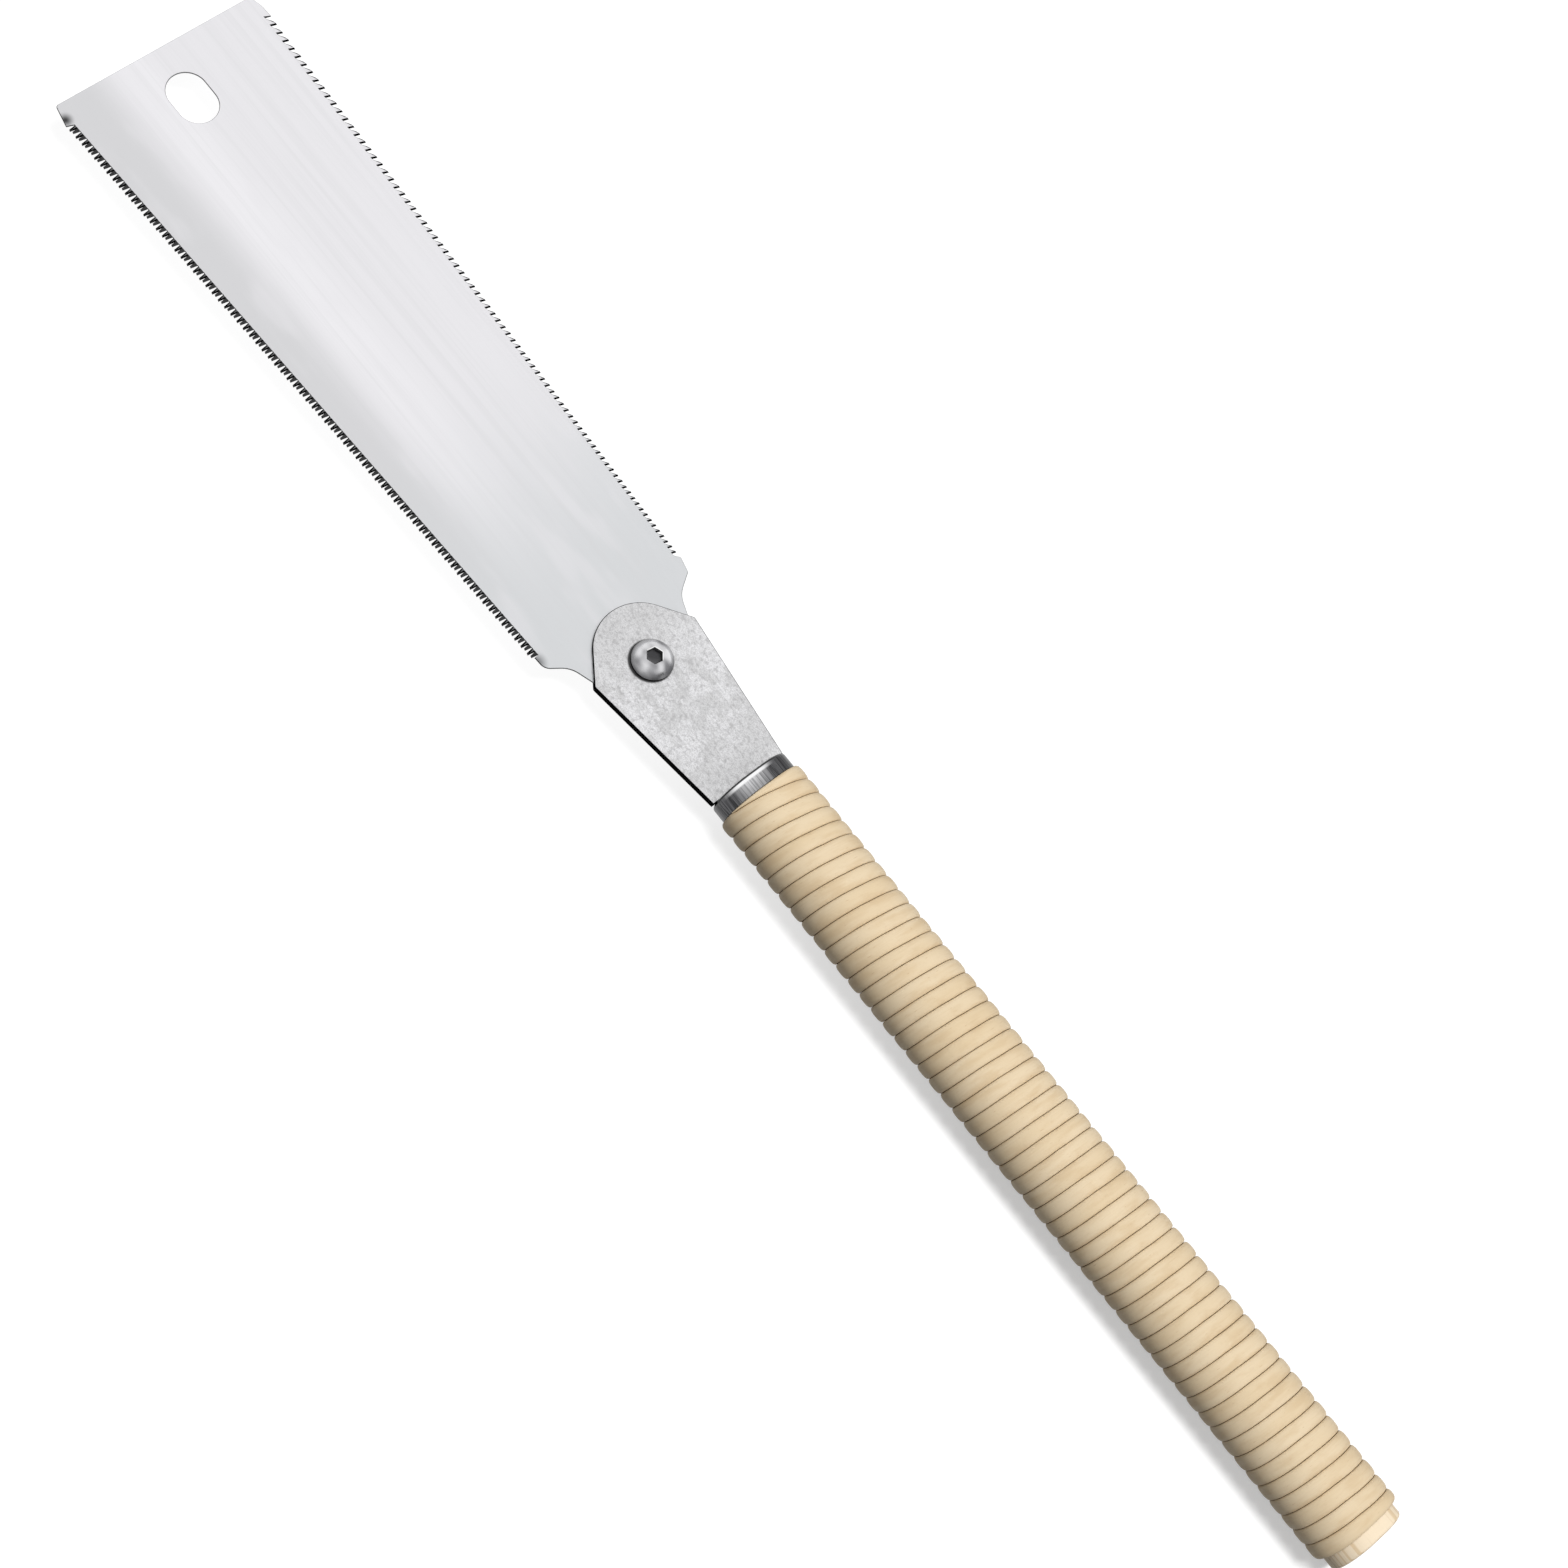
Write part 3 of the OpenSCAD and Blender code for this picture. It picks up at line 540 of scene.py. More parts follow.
def cane_finish():
    """Cane skin: cream that drifts slowly along the strip, soft buff clouds, fine fibres that follow it, a
    few brown flecks, and brown painted shade along the strip's edges that darkens the seams."""
    cream, straw, fibre_shade = srgb(223, 204, 173), srgb(218, 197, 163), srgb(197, 170, 131)
    buff, fleck_shade, seam_shade = srgb(207, 183, 147), srgb(168, 130, 86), srgb(90, 62, 32)
    cane = Finish("cane_skin", Specular_IOR_Level=0.3)
    lay = cane.step("UVMap", {}, uv_map="lay")

    def on_strip(length, humps, detail):
        """Noise with grains of a length in millimetres along the strip and a number of humps across it."""
        scale = (1 / (length * MM), humps, 1)
        return cane.noise(cane.step("Mapping", {"Vector": lay, "Scale": scale}), detail)

    drift, fibres = on_strip(45, 0.7, 3), on_strip(11, 34, 3)
    flecks, clouds = on_strip(2.6, 13, 1), on_strip(14, 1.6, 4)
    across = cane.step("SeparateXYZ", {"Vector": lay}, "Y")
    from_edge = cane.sums("MINIMUM", across, cane.sums("SUBTRACT", 1.0, across))
    tone = cane.mix(cane.between(drift, 0.34, 0.68), cream, straw)
    tone = cane.mix(cane.between(clouds, 0.44, 0.7, 0.0, 0.7), tone, buff)
    tone = cane.mix(cane.between(fibres, 0.52, 0.78, 0.0, 0.35), tone, fibre_shade)
    tone = cane.mix(cane.between(flecks, 0.68, 0.82, 0.0, 0.4), tone, fleck_shade)
    # Painted shade: the strip's edges turn dark brown, so that the seams read darker.
    cane.colour(cane.mix(cane.between(from_edge, 0.0, 0.018, 1.0, 0.0), tone, seam_shade))
    cane.roughness(cane.between(fibres, 0.3, 0.7, 0.5, 0.62))
    cane.bump(fibres, 0.025)
    return cane.material


cane_points, cane_groups, cane_lay = cane_mesh()
new_piece("rattan_strip", cane_points, cane_groups, "handle", "rattan", cane_finish(), "rattan_wrap",
          smooth_below=50, uv=cane_lay)


# Blade: one sheet of spring steel, ground and finely brushed lengthwise, with the tooth rows filed into its
# edges and hardened. It hangs by the oblong hole, and its open slot slides on to the clamp screw.
blade_low, blade_high = saw_box("blade")
tip_x, tang_x = blade_low[0], blade_high[0]
blade_half_t = blade_high[2]
tip_w, heel_w, ear_x = 81.0, 61.4, -17.7
heel_land, heel_relief, rip_ear_set, hollow_l = 4.6, 1.1, 0.8, 4.6
cross_ear_r, rip_ear_r, rip_land_r, neck_r = 4.0, 1.2, 0.9, 9.0
neck_w, neck_flare, tang_end_w = 38.4, 6.8, 31.0
tip_relief, tip_corner_r = 2.0, 1.2
hang_slot_l, hang_slot_w, hang_slot_inset = 19.4, 14.0, 20.4
row_end = ear_x - heel_land
blade_edge = 0.18
tip_margin = 0.01
arc_steps, hang_arc_steps = 24, 32


def edge_y(x):
    """Half the width over the tooth points, which tapers evenly from the tip to the ears."""
    return (tip_w + (heel_w - tip_w) * (x - tip_x) / (ear_x - tip_x)) / 2


def tip_corner(side, land, bow):
    """Plain land that rises from the rounded tip corner to the line of tooth points, straight or bowed."""
    middle_x, end_x = tip_x + land / 2, tip_x + land
    corner = (tip_x, side * (edge_y(tip_x) - tip_relief))
    middle = (middle_x, side * (edge_y(middle_x) - tip_relief * (1 - bow) / 2))
    end = (end_x, side * edge_y(end_x))
    bend = fillet(corner, middle, end, land) if bow else np.empty((0, 2))
    return np.concatenate([fillet((tip_x, 0), corner, middle, tip_corner_r), bend, [end]])


def heel_side(side, before, land, ear_at, ear_r, land_r):
    """Corner at which the plain land starts, sharp where it has no radius, round ear, hollow and straight
    neck on one side, then the tang inside the clamp."""
    ear = (ear_at, side * (edge_y(ear_at) - heel_relief))
    neck = (ear_at + hollow_l, side * (neck_w + neck_flare) / 2)
    mouth = (corner_x, side * neck_w / 2)
    tang = (tang_x, side * tang_end_w / 2)
    start = fillet(before, land, ear, land_r) if land_r else np.array([land])
    turn, hollow = fillet(land, ear, neck, ear_r), fillet(ear, neck, mouth, neck_r)
    return np.concatenate([start, turn, hollow, [mouth, tang]])


cross_pitch, cross_depth, cross_lean, cross_tip_land = 1.53, 2.7, 0.32, 7.9
cross_facet, cross_set = np.array([0.78, 0.3]), 0.12
slit_from, slit_top, slit_bow = 0.3, 0.62, 0.04


def crosscut_row():
    """Line of the roots from the tip to the heel, with the gullets and two places between each pair of them,
    and for each tooth its leaning point, the far end of its slanting top facet, and the inner corner at
    which its three filed bevels meet over the land that they leave between the two places."""
    first = tip_x + cross_tip_land + cross_pitch / 2
    x = np.linspace(first, row_end, round((row_end - first) / cross_pitch) + 1)
    gullets = np.stack([x, cross_depth - edge_y(x)], axis=1)
    point = np.stack([x[1:] - (x[1] - x[0]) / 2 + cross_lean, -edge_y(x[1:])], axis=1)
    facet = point + cross_facet * (-1, 1)
    share = np.array([[0], [slit_from], [1 - slit_from]])
    line = gullets[:-1, None] * (1 - share) + gullets[1:, None] * share - (share > 0) * (0, slit_bow)
    middle = line[:, 1:].mean(axis=1)
    inner = middle + slit_top * (point - middle)
    return np.concatenate([line.reshape(-1, 2), gullets[-1:]]), point, facet, inner


rip_pitch_tip, rip_pitch_heel, rip_tip_land, rip_land_bow = 3.5, 2.1, 9.4, 0.6
rip_depth_tip, rip_depth_heel, rip_rake = 2.35, 1.75, radians(16)
rip_floor_share, rip_brow_share, rip_slope_tip, rip_slope_heel = 0.58, 0.65, radians(14), radians(45)
rip_back_steps = 6
rip_set = 0.1
rip_bevel, rip_back_bevel, rip_line = 0.5, 0.2, np.array([0.225, -0.3915, 0.0])


def rip_row():
    """Gullets from the tip to the heel, with spacing that shrinks evenly, and behind each of them the back of
    its tooth up to the point: a cubic curve that leaves the gullet level and arrives at a slope."""
    first = tip_x + rip_tip_land
    count = round(2 * (row_end - first) / (rip_pitch_tip + rip_pitch_heel))
    number = np.arange(count + 1)
    x = rip_pitch_tip * number + (rip_pitch_heel - rip_pitch_tip) * number ** 2 / (2 * count)
    x = first + x * (row_end - first) / x[-1]
    points = np.stack([x, edge_y(x)], axis=1)
    heelwards, pitch = (number[:-1] / count)[:, None], np.diff(x)[:, None]
    depth = rip_depth_tip + (rip_depth_heel - rip_depth_tip) * heelwards
    slope = rip_slope_tip + (rip_slope_heel - rip_slope_tip) * heelwards
    gullets = points[:-1] - depth * (tan(rip_rake), 1)
    floor = gullets + rip_floor_share * pitch * (1, 0)
    brow = points[1:] - rip_brow_share * pitch * np.concatenate([np.cos(slope), np.sin(slope)], axis=1)
    w = (np.arange(1, rip_back_steps + 1) / rip_back_steps)[:, None]
    backs = gullets[:, None] * (1 - w) ** 3 + floor[:, None] * 3 * w * (1 - w) ** 2
    return gullets, backs + brow[:, None] * 3 * w ** 2 * (1 - w) + points[1:, None] * w ** 3


def alternate(count):
    """1 and -1 in turn, for teeth that are bevelled and set to one face and the other."""
    return np.where(np.arange(count) % 2, -1.0, 1.0)


def crosscut_teeth(row, start, face_step):
    """Teeth between neighbouring gullets, as whole arrays: their three bevels meet over a narrow land on one
    face, and the other face is flat to the point. Numbers run from start, and the two faces of the rim are
    face_step apart. Gives points and face groups."""
    point_xy, far_xy, inner_xy = row
    teeth = len(point_xy)
    over = alternate(teeth)
    point_z = -over * (blade_half_t + cross_set)
    points = np.concatenate([
        at_height(point_xy, point_z), at_height(far_xy, point_z), at_height(inner_xy, over * blade_half_t),
    ])
    point, far, inner = start + np.arange(3 * teeth).reshape(3, teeth)
    bevelled, flat = np.where(over > 0, 0, face_step), np.where(over > 0, face_step, 0)
    left, slit_left, slit_right, right = (3 * np.arange(teeth) + place + bevelled for place in range(4))
    under = [3 * np.arange(teeth) + place + flat for place in range(4)]
    faces = [
        ([slit_left, inner, far, under[0]], 1.0), ([inner, slit_right, under[3], point], 1.0),
        ([left, slit_left, under[0]], 1.0), ([slit_right, right, under[3]], 1.0),
        ([inner, far, point], 0.97), ([slit_left, slit_right, inner], 0.85), ([*under, point, far], 0.95),
    ]
    return points, [(np.stack(corners, axis=1), ground_and_shade) for corners, ground_and_shade in faces]


def rip_teeth(rip, rip_backs, start, gullet, face_step):
    """Teeth as whole arrays: a fan from the gullet in front of the point on both faces, a narrow back with
    the line that the file leaves beside it, and a filed front. Gullet numbers the rim's points, whose two
    faces are face_step apart, and new numbers run from start. Gives points and face groups."""
    teeth, steps = len(rip) - 1, rip_back_steps
    backs = rip_backs[:-1]
    height = (backs[..., 1] - rip[:-1, None, 1]) / (backs[:, -1:, 1] - rip[:-1, None, 1])
    lean = alternate(teeth)[:, None] * rip_set * height
    filed_off = np.stack([np.full(height.shape, rip_bevel), rip_back_bevel * height], axis=-1)
    back_points = np.stack([
        np.concatenate([backs - filed_off, (blade_half_t + lean)[..., None]], axis=-1),
        np.concatenate([backs, (lean - blade_half_t)[..., None]], axis=-1),
    ])
    line_points = back_points[:, :, :-1] + rip_line * height[:, :-1, None]
    points = np.concatenate([back_points.reshape(-1, 3), line_points.reshape(-1, 3)])
    back_count = 2 * teeth * steps
    back_number, line_number = np.split(start + np.arange(len(points)), [back_count])
    roots = np.stack([gullet, gullet + face_step])[..., None]
    fronts = roots - 1
    back = np.concatenate([roots, back_number.reshape(2, teeth, steps)], axis=-1)
    line = np.concatenate([roots, line_number.reshape(2, teeth, steps - 1), back[..., -1:]], axis=-1)
    upper, lower = back
    faces = [
        ([fronts, line[..., 1:], line[..., :-1]], 0.03),
        ([line[..., :-2], line[..., 1:-1], back[..., 1:-1]], 0.84),
        ([line[..., 1:-1], back[..., 2:], back[..., 1:-1]], 0.84),
        ([upper[:, :-1], upper[:, 1:], lower[:, 1:], lower[:, :-1]], 0.85),
        ([upper[:, -1:], fronts[0], fronts[1], lower[:, -1:]], 1.0),
    ]
    stacked = [(np.stack(np.broadcast_arrays(*corners), axis=-1), ground_and_shade) for corners, ground_and_shade in faces]
    return points, [(group.reshape(-1, group.shape[-1]), ground_and_shade) for group, ground_and_shade in stacked]


def hang_slot_loop():
    """Oblong with round ends near the tip, clockwise."""
    end_r, slot_x = hang_slot_w / 2, tip_x + hang_slot_inset
    half = hang_slot_l / 2 - end_r
    left, right = (slot_x - half, 0), (slot_x + half, 0)
    return np.concatenate([
        arc(left, end_r, 270, 90, hang_arc_steps), arc(right, end_r, 90, -90, hang_arc_steps),
    ])


def blade_outline(cross, rip, last_back):
    """Loop through the crosscut gullets to the heel, round the tang with its open slot, up the last rip back,
    through the rip gullets and over the tip. Gives the loop and the number of its first rip gullet."""
    cross_land = (row_end, heel_relief - edge_y(row_end))
    cross_heel = heel_side(-1, None, cross_land, ear_x, cross_ear_r, 0)
    rip_heel = heel_side(1, last_back[-3], last_back[-1], ear_x + rip_ear_set, rip_ear_r, rip_land_r)
    mouth = np.array([[tang_x, screw_hole_r]])
    tang_slot = np.concatenate([mouth * (1, -1), arc((0, 0), screw_hole_r, 270, 90, arc_steps), mouth])
    behind = np.concatenate([cross_heel, tang_slot, rip_heel[::-1], last_back[-3::-1]])
    tip = np.concatenate([tip_corner(1, rip_tip_land, rip_land_bow)[::-1], tip_corner(-1, cross_tip_land, 0)])
    return np.concatenate([cross, behind, rip[::-1], tip]), len(cross) + len(behind)


def blade_mesh():
    """Outline through the gullets with a rim of four rows, both faces filled round the hanging slot, and the
    teeth set on between neighbouring gullets, every second one turned over."""
    cross, *cross_row = crosscut_row()
    rip, rip_backs = rip_row()
    loop, rip_first = blade_outline(cross, rip, rip_backs[-1])
    rip_last = rip_first + len(rip) - 1
    count, top_z = len(loop), blade_half_t

    plain = np.ones(count)
    plain[:len(cross)] = plain[rip_first:rip_last + 1] = 0
    face_loop = inset(loop, blade_edge * plain[:, None])
    side_z = top_z - blade_edge * plain
    shift = np.zeros_like(loop)
    shift[rip_first:rip_last + 1] = (-rip_bevel, 0)
    rim = np.concatenate([
        at_height(face_loop + shift, top_z), at_height(loop + shift, side_z),
        at_height(loop, -side_z), at_height(face_loop, -top_z),
    ])
    toothed = np.zeros(count, bool)
    toothed[:len(cross) - 1] = toothed[rip_first:rip_last] = True
    at_tip = np.maximum(loop[:, 0], np.roll(loop[:, 0], -1))[~toothed] < tip_x + tip_margin
    walls = grid_faces(4, count).reshape(3, count, 4)[:, ~toothed]

    slot_loop = hang_slot_loop()
    slot_face, slot_start, slot_count = inset(slot_loop, blade_edge), len(rim), len(slot_loop)
    slot_rim = rim_points(slot_loop, slot_face, -top_z, top_z, blade_edge)
    slot_walls = grid_faces(4, slot_count, slot_start).reshape(3, slot_count, 4)
    top = fill_faces([face_loop + shift, slot_face], [0, slot_start])
    bottom = fill_faces([face_loop, slot_face], [3 * count, slot_start + 3 * slot_count])
    groups = [
        (top, 0.0), (bottom, 0.0), (walls[1], 0.95), (slot_walls[1], 0.95),
        (walls[::2, ~at_tip].reshape(-1, 4), 0.85), (walls[::2, at_tip].reshape(-1, 4), 0.5),
        (slot_walls[::2].reshape(-1, 4), 0.8),
    ]

    cross_start = slot_start + len(slot_rim)
    cross_points, cross_groups = crosscut_teeth(cross_row, cross_start, 3 * count)
    gullet = rip_last - np.arange(len(rip) - 1)
    rip_points, rip_groups = rip_teeth(rip, rip_backs, cross_start + len(cross_points), gullet, 3 * count)
    return np.concatenate([rim, slot_rim, cross_points, rip_points]), groups + cross_groups + rip_groups


def blade_finish():
    """Brushed spring steel: hair-fine lines, streaks and soft bands along the blade, a painted highlight band
    along its middle, greyer towards the heel and beside the crosscut edge, with dark filed surfaces and
    smudges where that row's hardening ends."""
    bright, grey, filed = srgb(239, 238, 241), srgb(233, 232, 235), srgb(12, 12, 13)
    edge_grey, heel_grey = srgb(214, 214, 216), srgb(215, 217, 219)
    sheen_y = -10.0
    smudges = [(tip_x + 5.9, -39.0, 3.4, 0.95), (-20.6, -30.6, 4.6, 0.8)]
    steel = Finish("brushed_spring_steel")
    bands = steel.noise(steel.where(220, 26, 50), detail=2)
    hairs = steel.noise(steel.where(22, 0.22, 5), detail=3)
    # Painted highlight: lighter in a band along the blade round sheen_y, where a lamp's reflection would
    # fall.
    from_sheen = steel.sums("ABSOLUTE", steel.sums("SUBTRACT", steel.from_screw("Y"), sheen_y), 0.0)
    tone = steel.mix(steel.between(from_sheen, 2.0, 12.0, 0.0, 0.7), bright, grey)
    tone = steel.mix(steel.between(bands, 0.36, 0.66, 0.0, 0.5), tone, grey)
    tone = steel.mix(steel.between(steel.from_screw("Y"), -28.0, -13.0, 0.95, 0.0), tone, edge_grey)
    tone = steel.mix(steel.between(steel.from_screw("X"), -120.0, -22.0, 0.0, 0.95), tone, heel_grey)
    smears_and_reflections = steel.noise(steel.where(34, 9, 30), detail=2)
    tone = steel.mix(steel.between(smears_and_reflections, 0.46, 0.7, 0.0, 0.4), tone, grey)
    streaks = steel.noise(steel.where(150, 1.5, 30), detail=4)
    tone = steel.mix(steel.between(streaks, 0.42, 0.72, 0.0, 0.22), tone, edge_grey)
    tone = steel.mix(steel.between(hairs, 0.5, 0.8, 0.0, 0.1), tone, edge_grey)
    for x, y, radius, share in smudges:
        away = steel.away_from(screw_place + np.array([x, y, 0]) * MM)
        tone = steel.mix(steel.between(away, 0.0, radius, share, 0.0), tone, filed)
    steel.blacken(tone, filed)
    steel.roughness(steel.between(hairs, 0.3, 0.7, 0.37, 0.42))
    steel.bump(hairs, 0.0015)
    return steel.material


new_piece("saw_blade", *blade_mesh(), "blade", "blade_steel", blade_finish(), "blade", smooth_below=20)


# Clamp screw: a cold-headed button-head machine screw with a hexagon socket and a rolled thread, polished
# and bright. It passes through both leaves and the slot in the blade's tang.
screw_low, screw_high = saw_box("clamp_screw")
head_h, head_rim_h, head_flat_r = 4.4, 0.7, 3.5
head_r = screw_high[1]
head_base = screw_high[2] - head_h
socket_af, socket_depth, socket_turn, socket_chamfer = 5.0, 2.6, radians(21), 0.2
drill_point, floor_share, floor_edge = 0.5, 0.97, 0.1
head_edge, plain_neck, thread_start, end_chamfer, end_inset = 0.12, 0.6, 1.0, 0.7, 0.1
thread_r, thread_pitch, thread_depth = 4.0, 1.25, 0.66
dome_rows, thread_rows = 22, 90
turned_columns = 120
around = np.arange(turned_columns) * 2 * pi / turned_columns


def hexagon(across_flats, turn):
    """Distance from the middle to the side of a hexagon, in every direction round it."""
    from_flat = (around - turn + pi / 3) % (pi / 3) - pi / 6
    return across_flats / 2 / np.cos(from_flat)


def thread(z, clearance):
    """Radius of a right-hand V thread at each height and direction: it rises one pitch in a turn."""
    phase = (z[:, None] / thread_pitch - around / (2 * pi)) % 1
    return thread_r + clearance - thread_depth * (1 - np.abs(2 * phase - 1))


def turned_rows(*rows):
    """Rows of a turned or formed piece from pairs of radius and height, either of which may be an array."""
    grids = []
    for radius, z in rows:
        radius, z = np.broadcast_arrays(np.atleast_2d(radius), np.reshape(z, (-1, 1)))
        radius, z = (np.broadcast_to(value, (len(value), turned_columns)) for value in (radius, z))
        grids.append(np.stack([radius * np.cos(around), radius * np.sin(around), z], axis=-1))
    return np.concatenate(grids)


def screw_mesh():
    """From the socket's drilled floor up its six sides, over the dome and the upright rim, under the head,
    down the thread, and to the middle of the chamfered end. Painted shade fills the socket, grows down the
    dome and blackens the rim; the share of -1 on the socket's chamfer stands for a painted white highlight on
    the lip."""
    top, end, floor = screw_high[2], screw_low[2], screw_high[2] - socket_depth
    six_sides = hexagon(socket_af, socket_turn)
    dome_z = (head_h ** 2 + head_flat_r ** 2 - head_r ** 2 - head_rim_h ** 2) / (2 * (head_h - head_rim_h))
    dome_r = np.hypot(head_r, head_rim_h - dome_z)
    flat_tilt, rim_tilt = np.arctan2(head_flat_r, head_h - dome_z), np.arctan2(head_r, head_rim_h - dome_z)
    tilt = np.linspace(flat_tilt, rim_tilt, dome_rows)
    dome = np.repeat(dome_r * np.sin(tilt)[:, None], turned_columns, axis=1)
    thread_z = np.linspace(head_base - thread_start, end + end_chamfer, thread_rows)
    socket = [
        (0.0, floor - drill_point), (six_sides * floor_share, floor), (six_sides, floor + floor_edge),
        (six_sides, top - socket_chamfer), (six_sides + socket_chamfer, top),
    ]
    head = [
        (dome, head_base + dome_z + dome_r * np.cos(tilt)), (head_r, head_base + head_edge),
        (head_r - head_edge, head_base), (thread_r, head_base),
    ]
    shank = [
        (thread_r, head_base - plain_neck), (thread(thread_z, 0.0), thread_z),
        (thread_r - thread_depth - end_inset, end), (0.0, end),
    ]
    rows = turned_rows(*socket, *head, *shank)
    rings = grid_faces(*rows.shape[:2]).reshape(-1, turned_columns, 4)
    lip, rim = len(socket) - 2, len(socket) + dome_rows - 1
    # Painted shade: dark in the socket, darker down the dome towards the rim, and black on the rim; -1 marks
    # the painted highlight on the lip.
    dome_shade = np.linspace(-0.3, 0.75, rim - lip).clip(0) ** 1.6
    dome_shade[0] = -1
    ground_and_shade = np.concatenate([[0.8, 0.7, 0.6], dome_shade, [1.0, 1.0], np.full(len(rings) - rim - 2, 0.2)])
    return rows.reshape(-1, 3), list(zip(rings, ground_and_shade))


def polished_finish():
    """Polished steel: soft bright and dull patches painted as reflections, faint tool marks, a painted white
    highlight on the socket's lip, and painted shade in the socket, down the dome and at the rim."""
    bright, grey, shade_dark = srgb(226, 226, 228), srgb(130, 130, 133), srgb(18, 18, 19)
    steel = Finish("polished_steel")
    smears_and_reflections = steel.noise(steel.where(6.5, 5, 6), detail=1)
    marks = steel.noise(steel.where(1.6, 1.6, 0.1), detail=2)
    # Painted reflections: bright and dull patches over the polished steel.
    tone = steel.mix(steel.between(smears_and_reflections, 0.34, 0.66), bright, grey)
    # Painted highlight: white on the socket's lip, where the share is -1.
    lip = steel.between(steel.step("Attribute", {}, "Fac", attribute_name="ground_and_shade"), -1.0, 0.0, 1.0, 0.0)
    steel.blacken(steel.mix(lip, tone, (1.0, 1.0, 1.0, 1.0)), shade_dark)
    steel.roughness(steel.between(smears_and_reflections, 0.3, 0.7, 0.18, 0.28))
    steel.bump(marks, 0.006)
    return steel.material


polished_steel = polished_finish()
new_piece("button_screw", *screw_mesh(), "screw", "screw_steel", polished_steel, "clamp_screw")


# Clamp nut: a plain hexagon nut on the back of the clamp, with its corners turned off and a cut thread.
# It is drawn up the screw to grip the blade, and the same key that turns the screw loosens it.
nut_low, nut_high = saw_box("clamp_nut")
nut_af = 13.0
thread_clearance = 0.03
bore_chamfer, bore_mouth, bore_rows = 0.35, 0.15, 44
corner_share, corner_rows, cone_slope = 0.12, 9, 2


def nut_mesh():
    """Up the threaded bore and down the outside, which is the hexagon cut by a cone at both ends."""
    low, high = nut_low[2], nut_high[2]
    bore_z = np.linspace(low + bore_chamfer, high - bore_chamfer, bore_rows)
    from_end = np.linspace(0, corner_share, corner_rows)
    side_z = high - (high - low) * np.concatenate([from_end, 1 - from_end[::-1]])
    cone = nut_af / 2 + cone_slope * np.minimum(side_z - low, high - side_z)
    side = np.minimum(hexagon(nut_af, 0.0), cone[:, None])
    mouth_r = thread_r + bore_mouth
    rows = turned_rows(
        (mouth_r, low), (thread(bore_z, thread_clearance), bore_z), (mouth_r, high), (side, side_z),
    )
    return rows.reshape(-1, 3), [(grid_faces(*rows.shape[:2], closed=True), 0.0)]


new_piece("hex_nut", *nut_mesh(), "nut", "screw_steel", polished_steel, "clamp_nut")


# Studio: a plain white table that keeps the saw's soft shadow, one large soft lamp almost overhead and a weak
# one above the camera, and a white room. The camera looks down over the crosscut edge.
white = (1.0, 1.0, 1.0, 1.0)
table_half = 3.0
lamps = [
    ("key_lamp", (0.5, 0.55, 3.95), 1.3, 161.0),
    ("front_lamp", (-0.24, -0.64, 1.44), 0.5, 2.0),
]
room_light = 0.12
lens, sensor = 75.0, 36.0
camera_place = np.array([122.01, -397.82, 947.70]) * MM
camera_aim = np.array([11.00, 8.91, 12.95]) * MM
camera_roll = radians(-36.853)


def seen_ray(finish):
    """1 for a ray of the camera, of a reflection or through glass, and 0 for one that lights the object."""
    camera_ray = finish.step("LightPath", {}, "Is Camera Ray")
    glossy_ray = finish.step("LightPath", {}, "Is Glossy Ray")
    clear_ray = finish.step("LightPath", {}, "Is Transmission Ray")
    return finish.sums("MAXIMUM", camera_ray, finish.sums("MAXIMUM", glossy_ray, clear_ray))


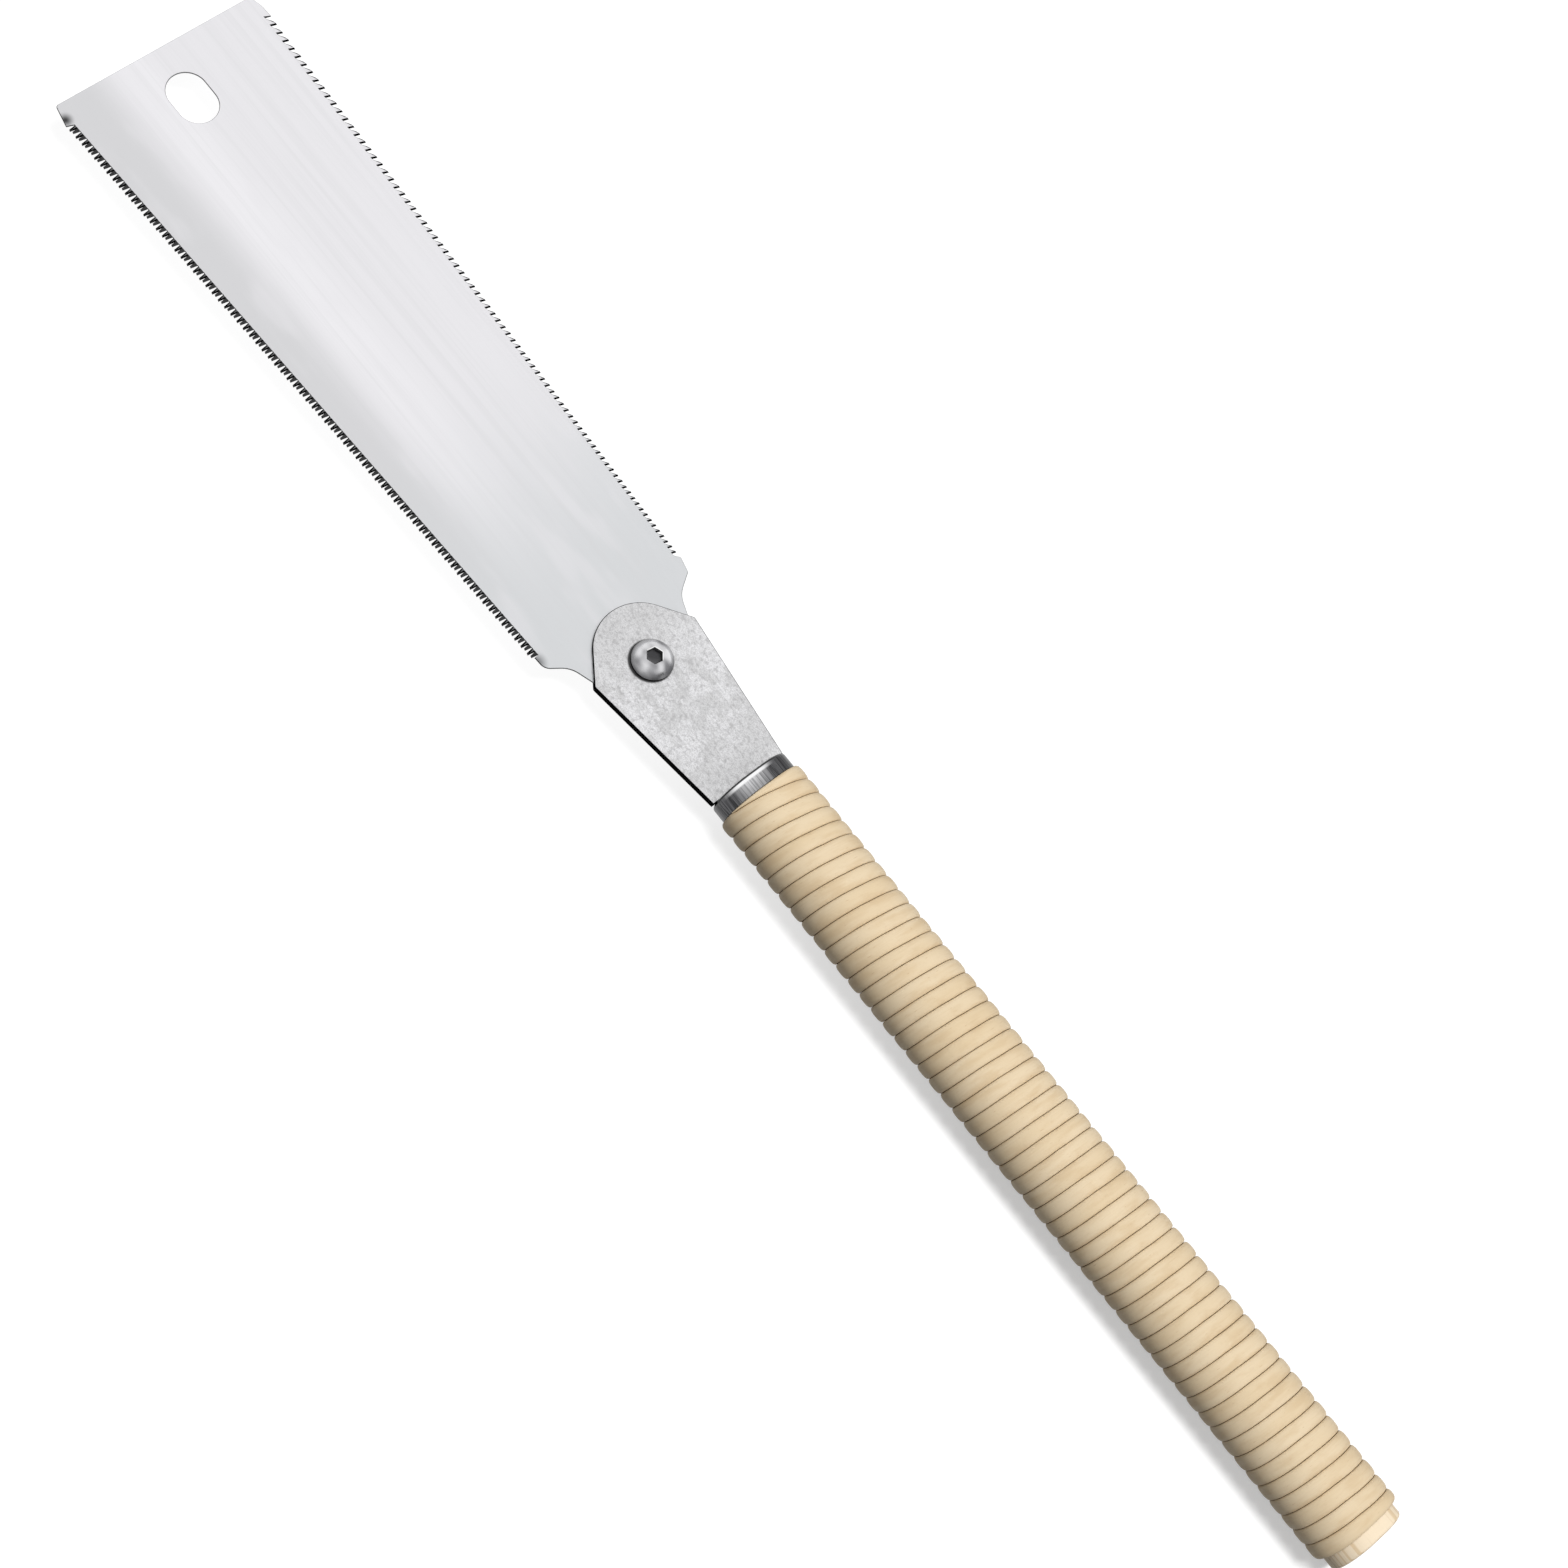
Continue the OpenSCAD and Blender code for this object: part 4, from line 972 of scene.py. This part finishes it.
def add_table():
    """Flat square under the saw. Its paint and its glow together look white to the camera, in reflections
    and through glass, with more paint and less glow beside the butt, where the shadow is strong. Other light
    meets dark grey."""
    near, far, lit = (0.64, 0.64, 0.64, 1.0), (0.16, 0.16, 0.16, 1.0), (0.1, 0.1, 0.1, 1.0)
    beside_butt, strong_shadow, no_shadow = (0.27, -0.04, 0.0), 100, 360
    mesh = bpy.data.meshes.new("table")
    corners = np.array([(-1, -1, 0), (1, -1, 0), (1, 1, 0), (-1, 1, 0)]) * table_half
    mesh.from_pydata(corners.tolist(), [], [(0, 1, 2, 3)])
    paint = Finish("white_table", Roughness=1.0, Specular_IOR_Level=0.0, Emission_Color=white)
    away = paint.away_from(beside_butt)
    glow = paint.between(away, strong_shadow, no_shadow, 0.42, 0.92)
    shade = paint.mix(paint.between(away, strong_shadow, no_shadow), near, far)
    paint.colour(paint.mix(seen_ray(paint), lit, shade))
    paint.feed(paint.shader.inputs["Emission Strength"], paint.sums("MULTIPLY", seen_ray(paint), glow))
    mesh.materials.append(paint.material)
    table = add_object("table", mesh)


class Room(Finish):
    """The world's background, fed by the same steps as a piece's shader."""

    def __init__(self, name):
        self.world = bpy.data.worlds.new(name)
        self.world.use_nodes = True
        self.tree = self.world.node_tree
        self.shader = self.tree.nodes["Background"]


def add_room():
    """White all round to the camera and in reflections, and a soft even light on the saw."""
    room = Room("white_room")
    light = {"Value": seen_ray(room), "To Min": room_light, "To Max": 1.0}
    room.feed(room.shader.inputs["Color"], white)
    room.feed(room.shader.inputs["Strength"], room.step("MapRange", light))
    bpy.context.scene.world = room.world


def add_lamp(name, place, size, power):
    """Square soft lamp that faces the middle of the saw. Bare metal mirrors the white room in place of it."""
    lamp = bpy.data.lights.new(name, "AREA")
    lamp.size = size
    lamp.energy = power
    holder = add_object(name, lamp)
    holder.location = place
    holder.visible_camera = holder.visible_glossy = False
    holder.rotation_euler = (-Vector(place)).to_track_quat("-Z", "Y").to_euler()


def add_camera():
    """Camera turned about its line of sight by the roll, from a level picture."""
    back = (camera_place - camera_aim) / np.linalg.norm(camera_place - camera_aim)
    level = np.cross((0, 0, 1), back)
    level /= np.linalg.norm(level)
    up = cos(camera_roll) * np.cross(back, level) + sin(camera_roll) * level
    camera = bpy.data.cameras.new("camera")
    camera.lens = lens
    camera.sensor_width = sensor
    camera.sensor_fit = "HORIZONTAL"
    holder = add_object("camera", camera)
    turned = Matrix(np.stack([np.cross(up, back), up, back], axis=1).tolist()).to_4x4()
    holder.matrix_world = Matrix.Translation(camera_place) @ turned
    bpy.context.scene.camera = holder


add_table()
add_room()
for lamp_sizes in lamps:
    add_lamp(*lamp_sizes)
add_camera()
bpy.context.scene.view_settings.view_transform = "Standard"
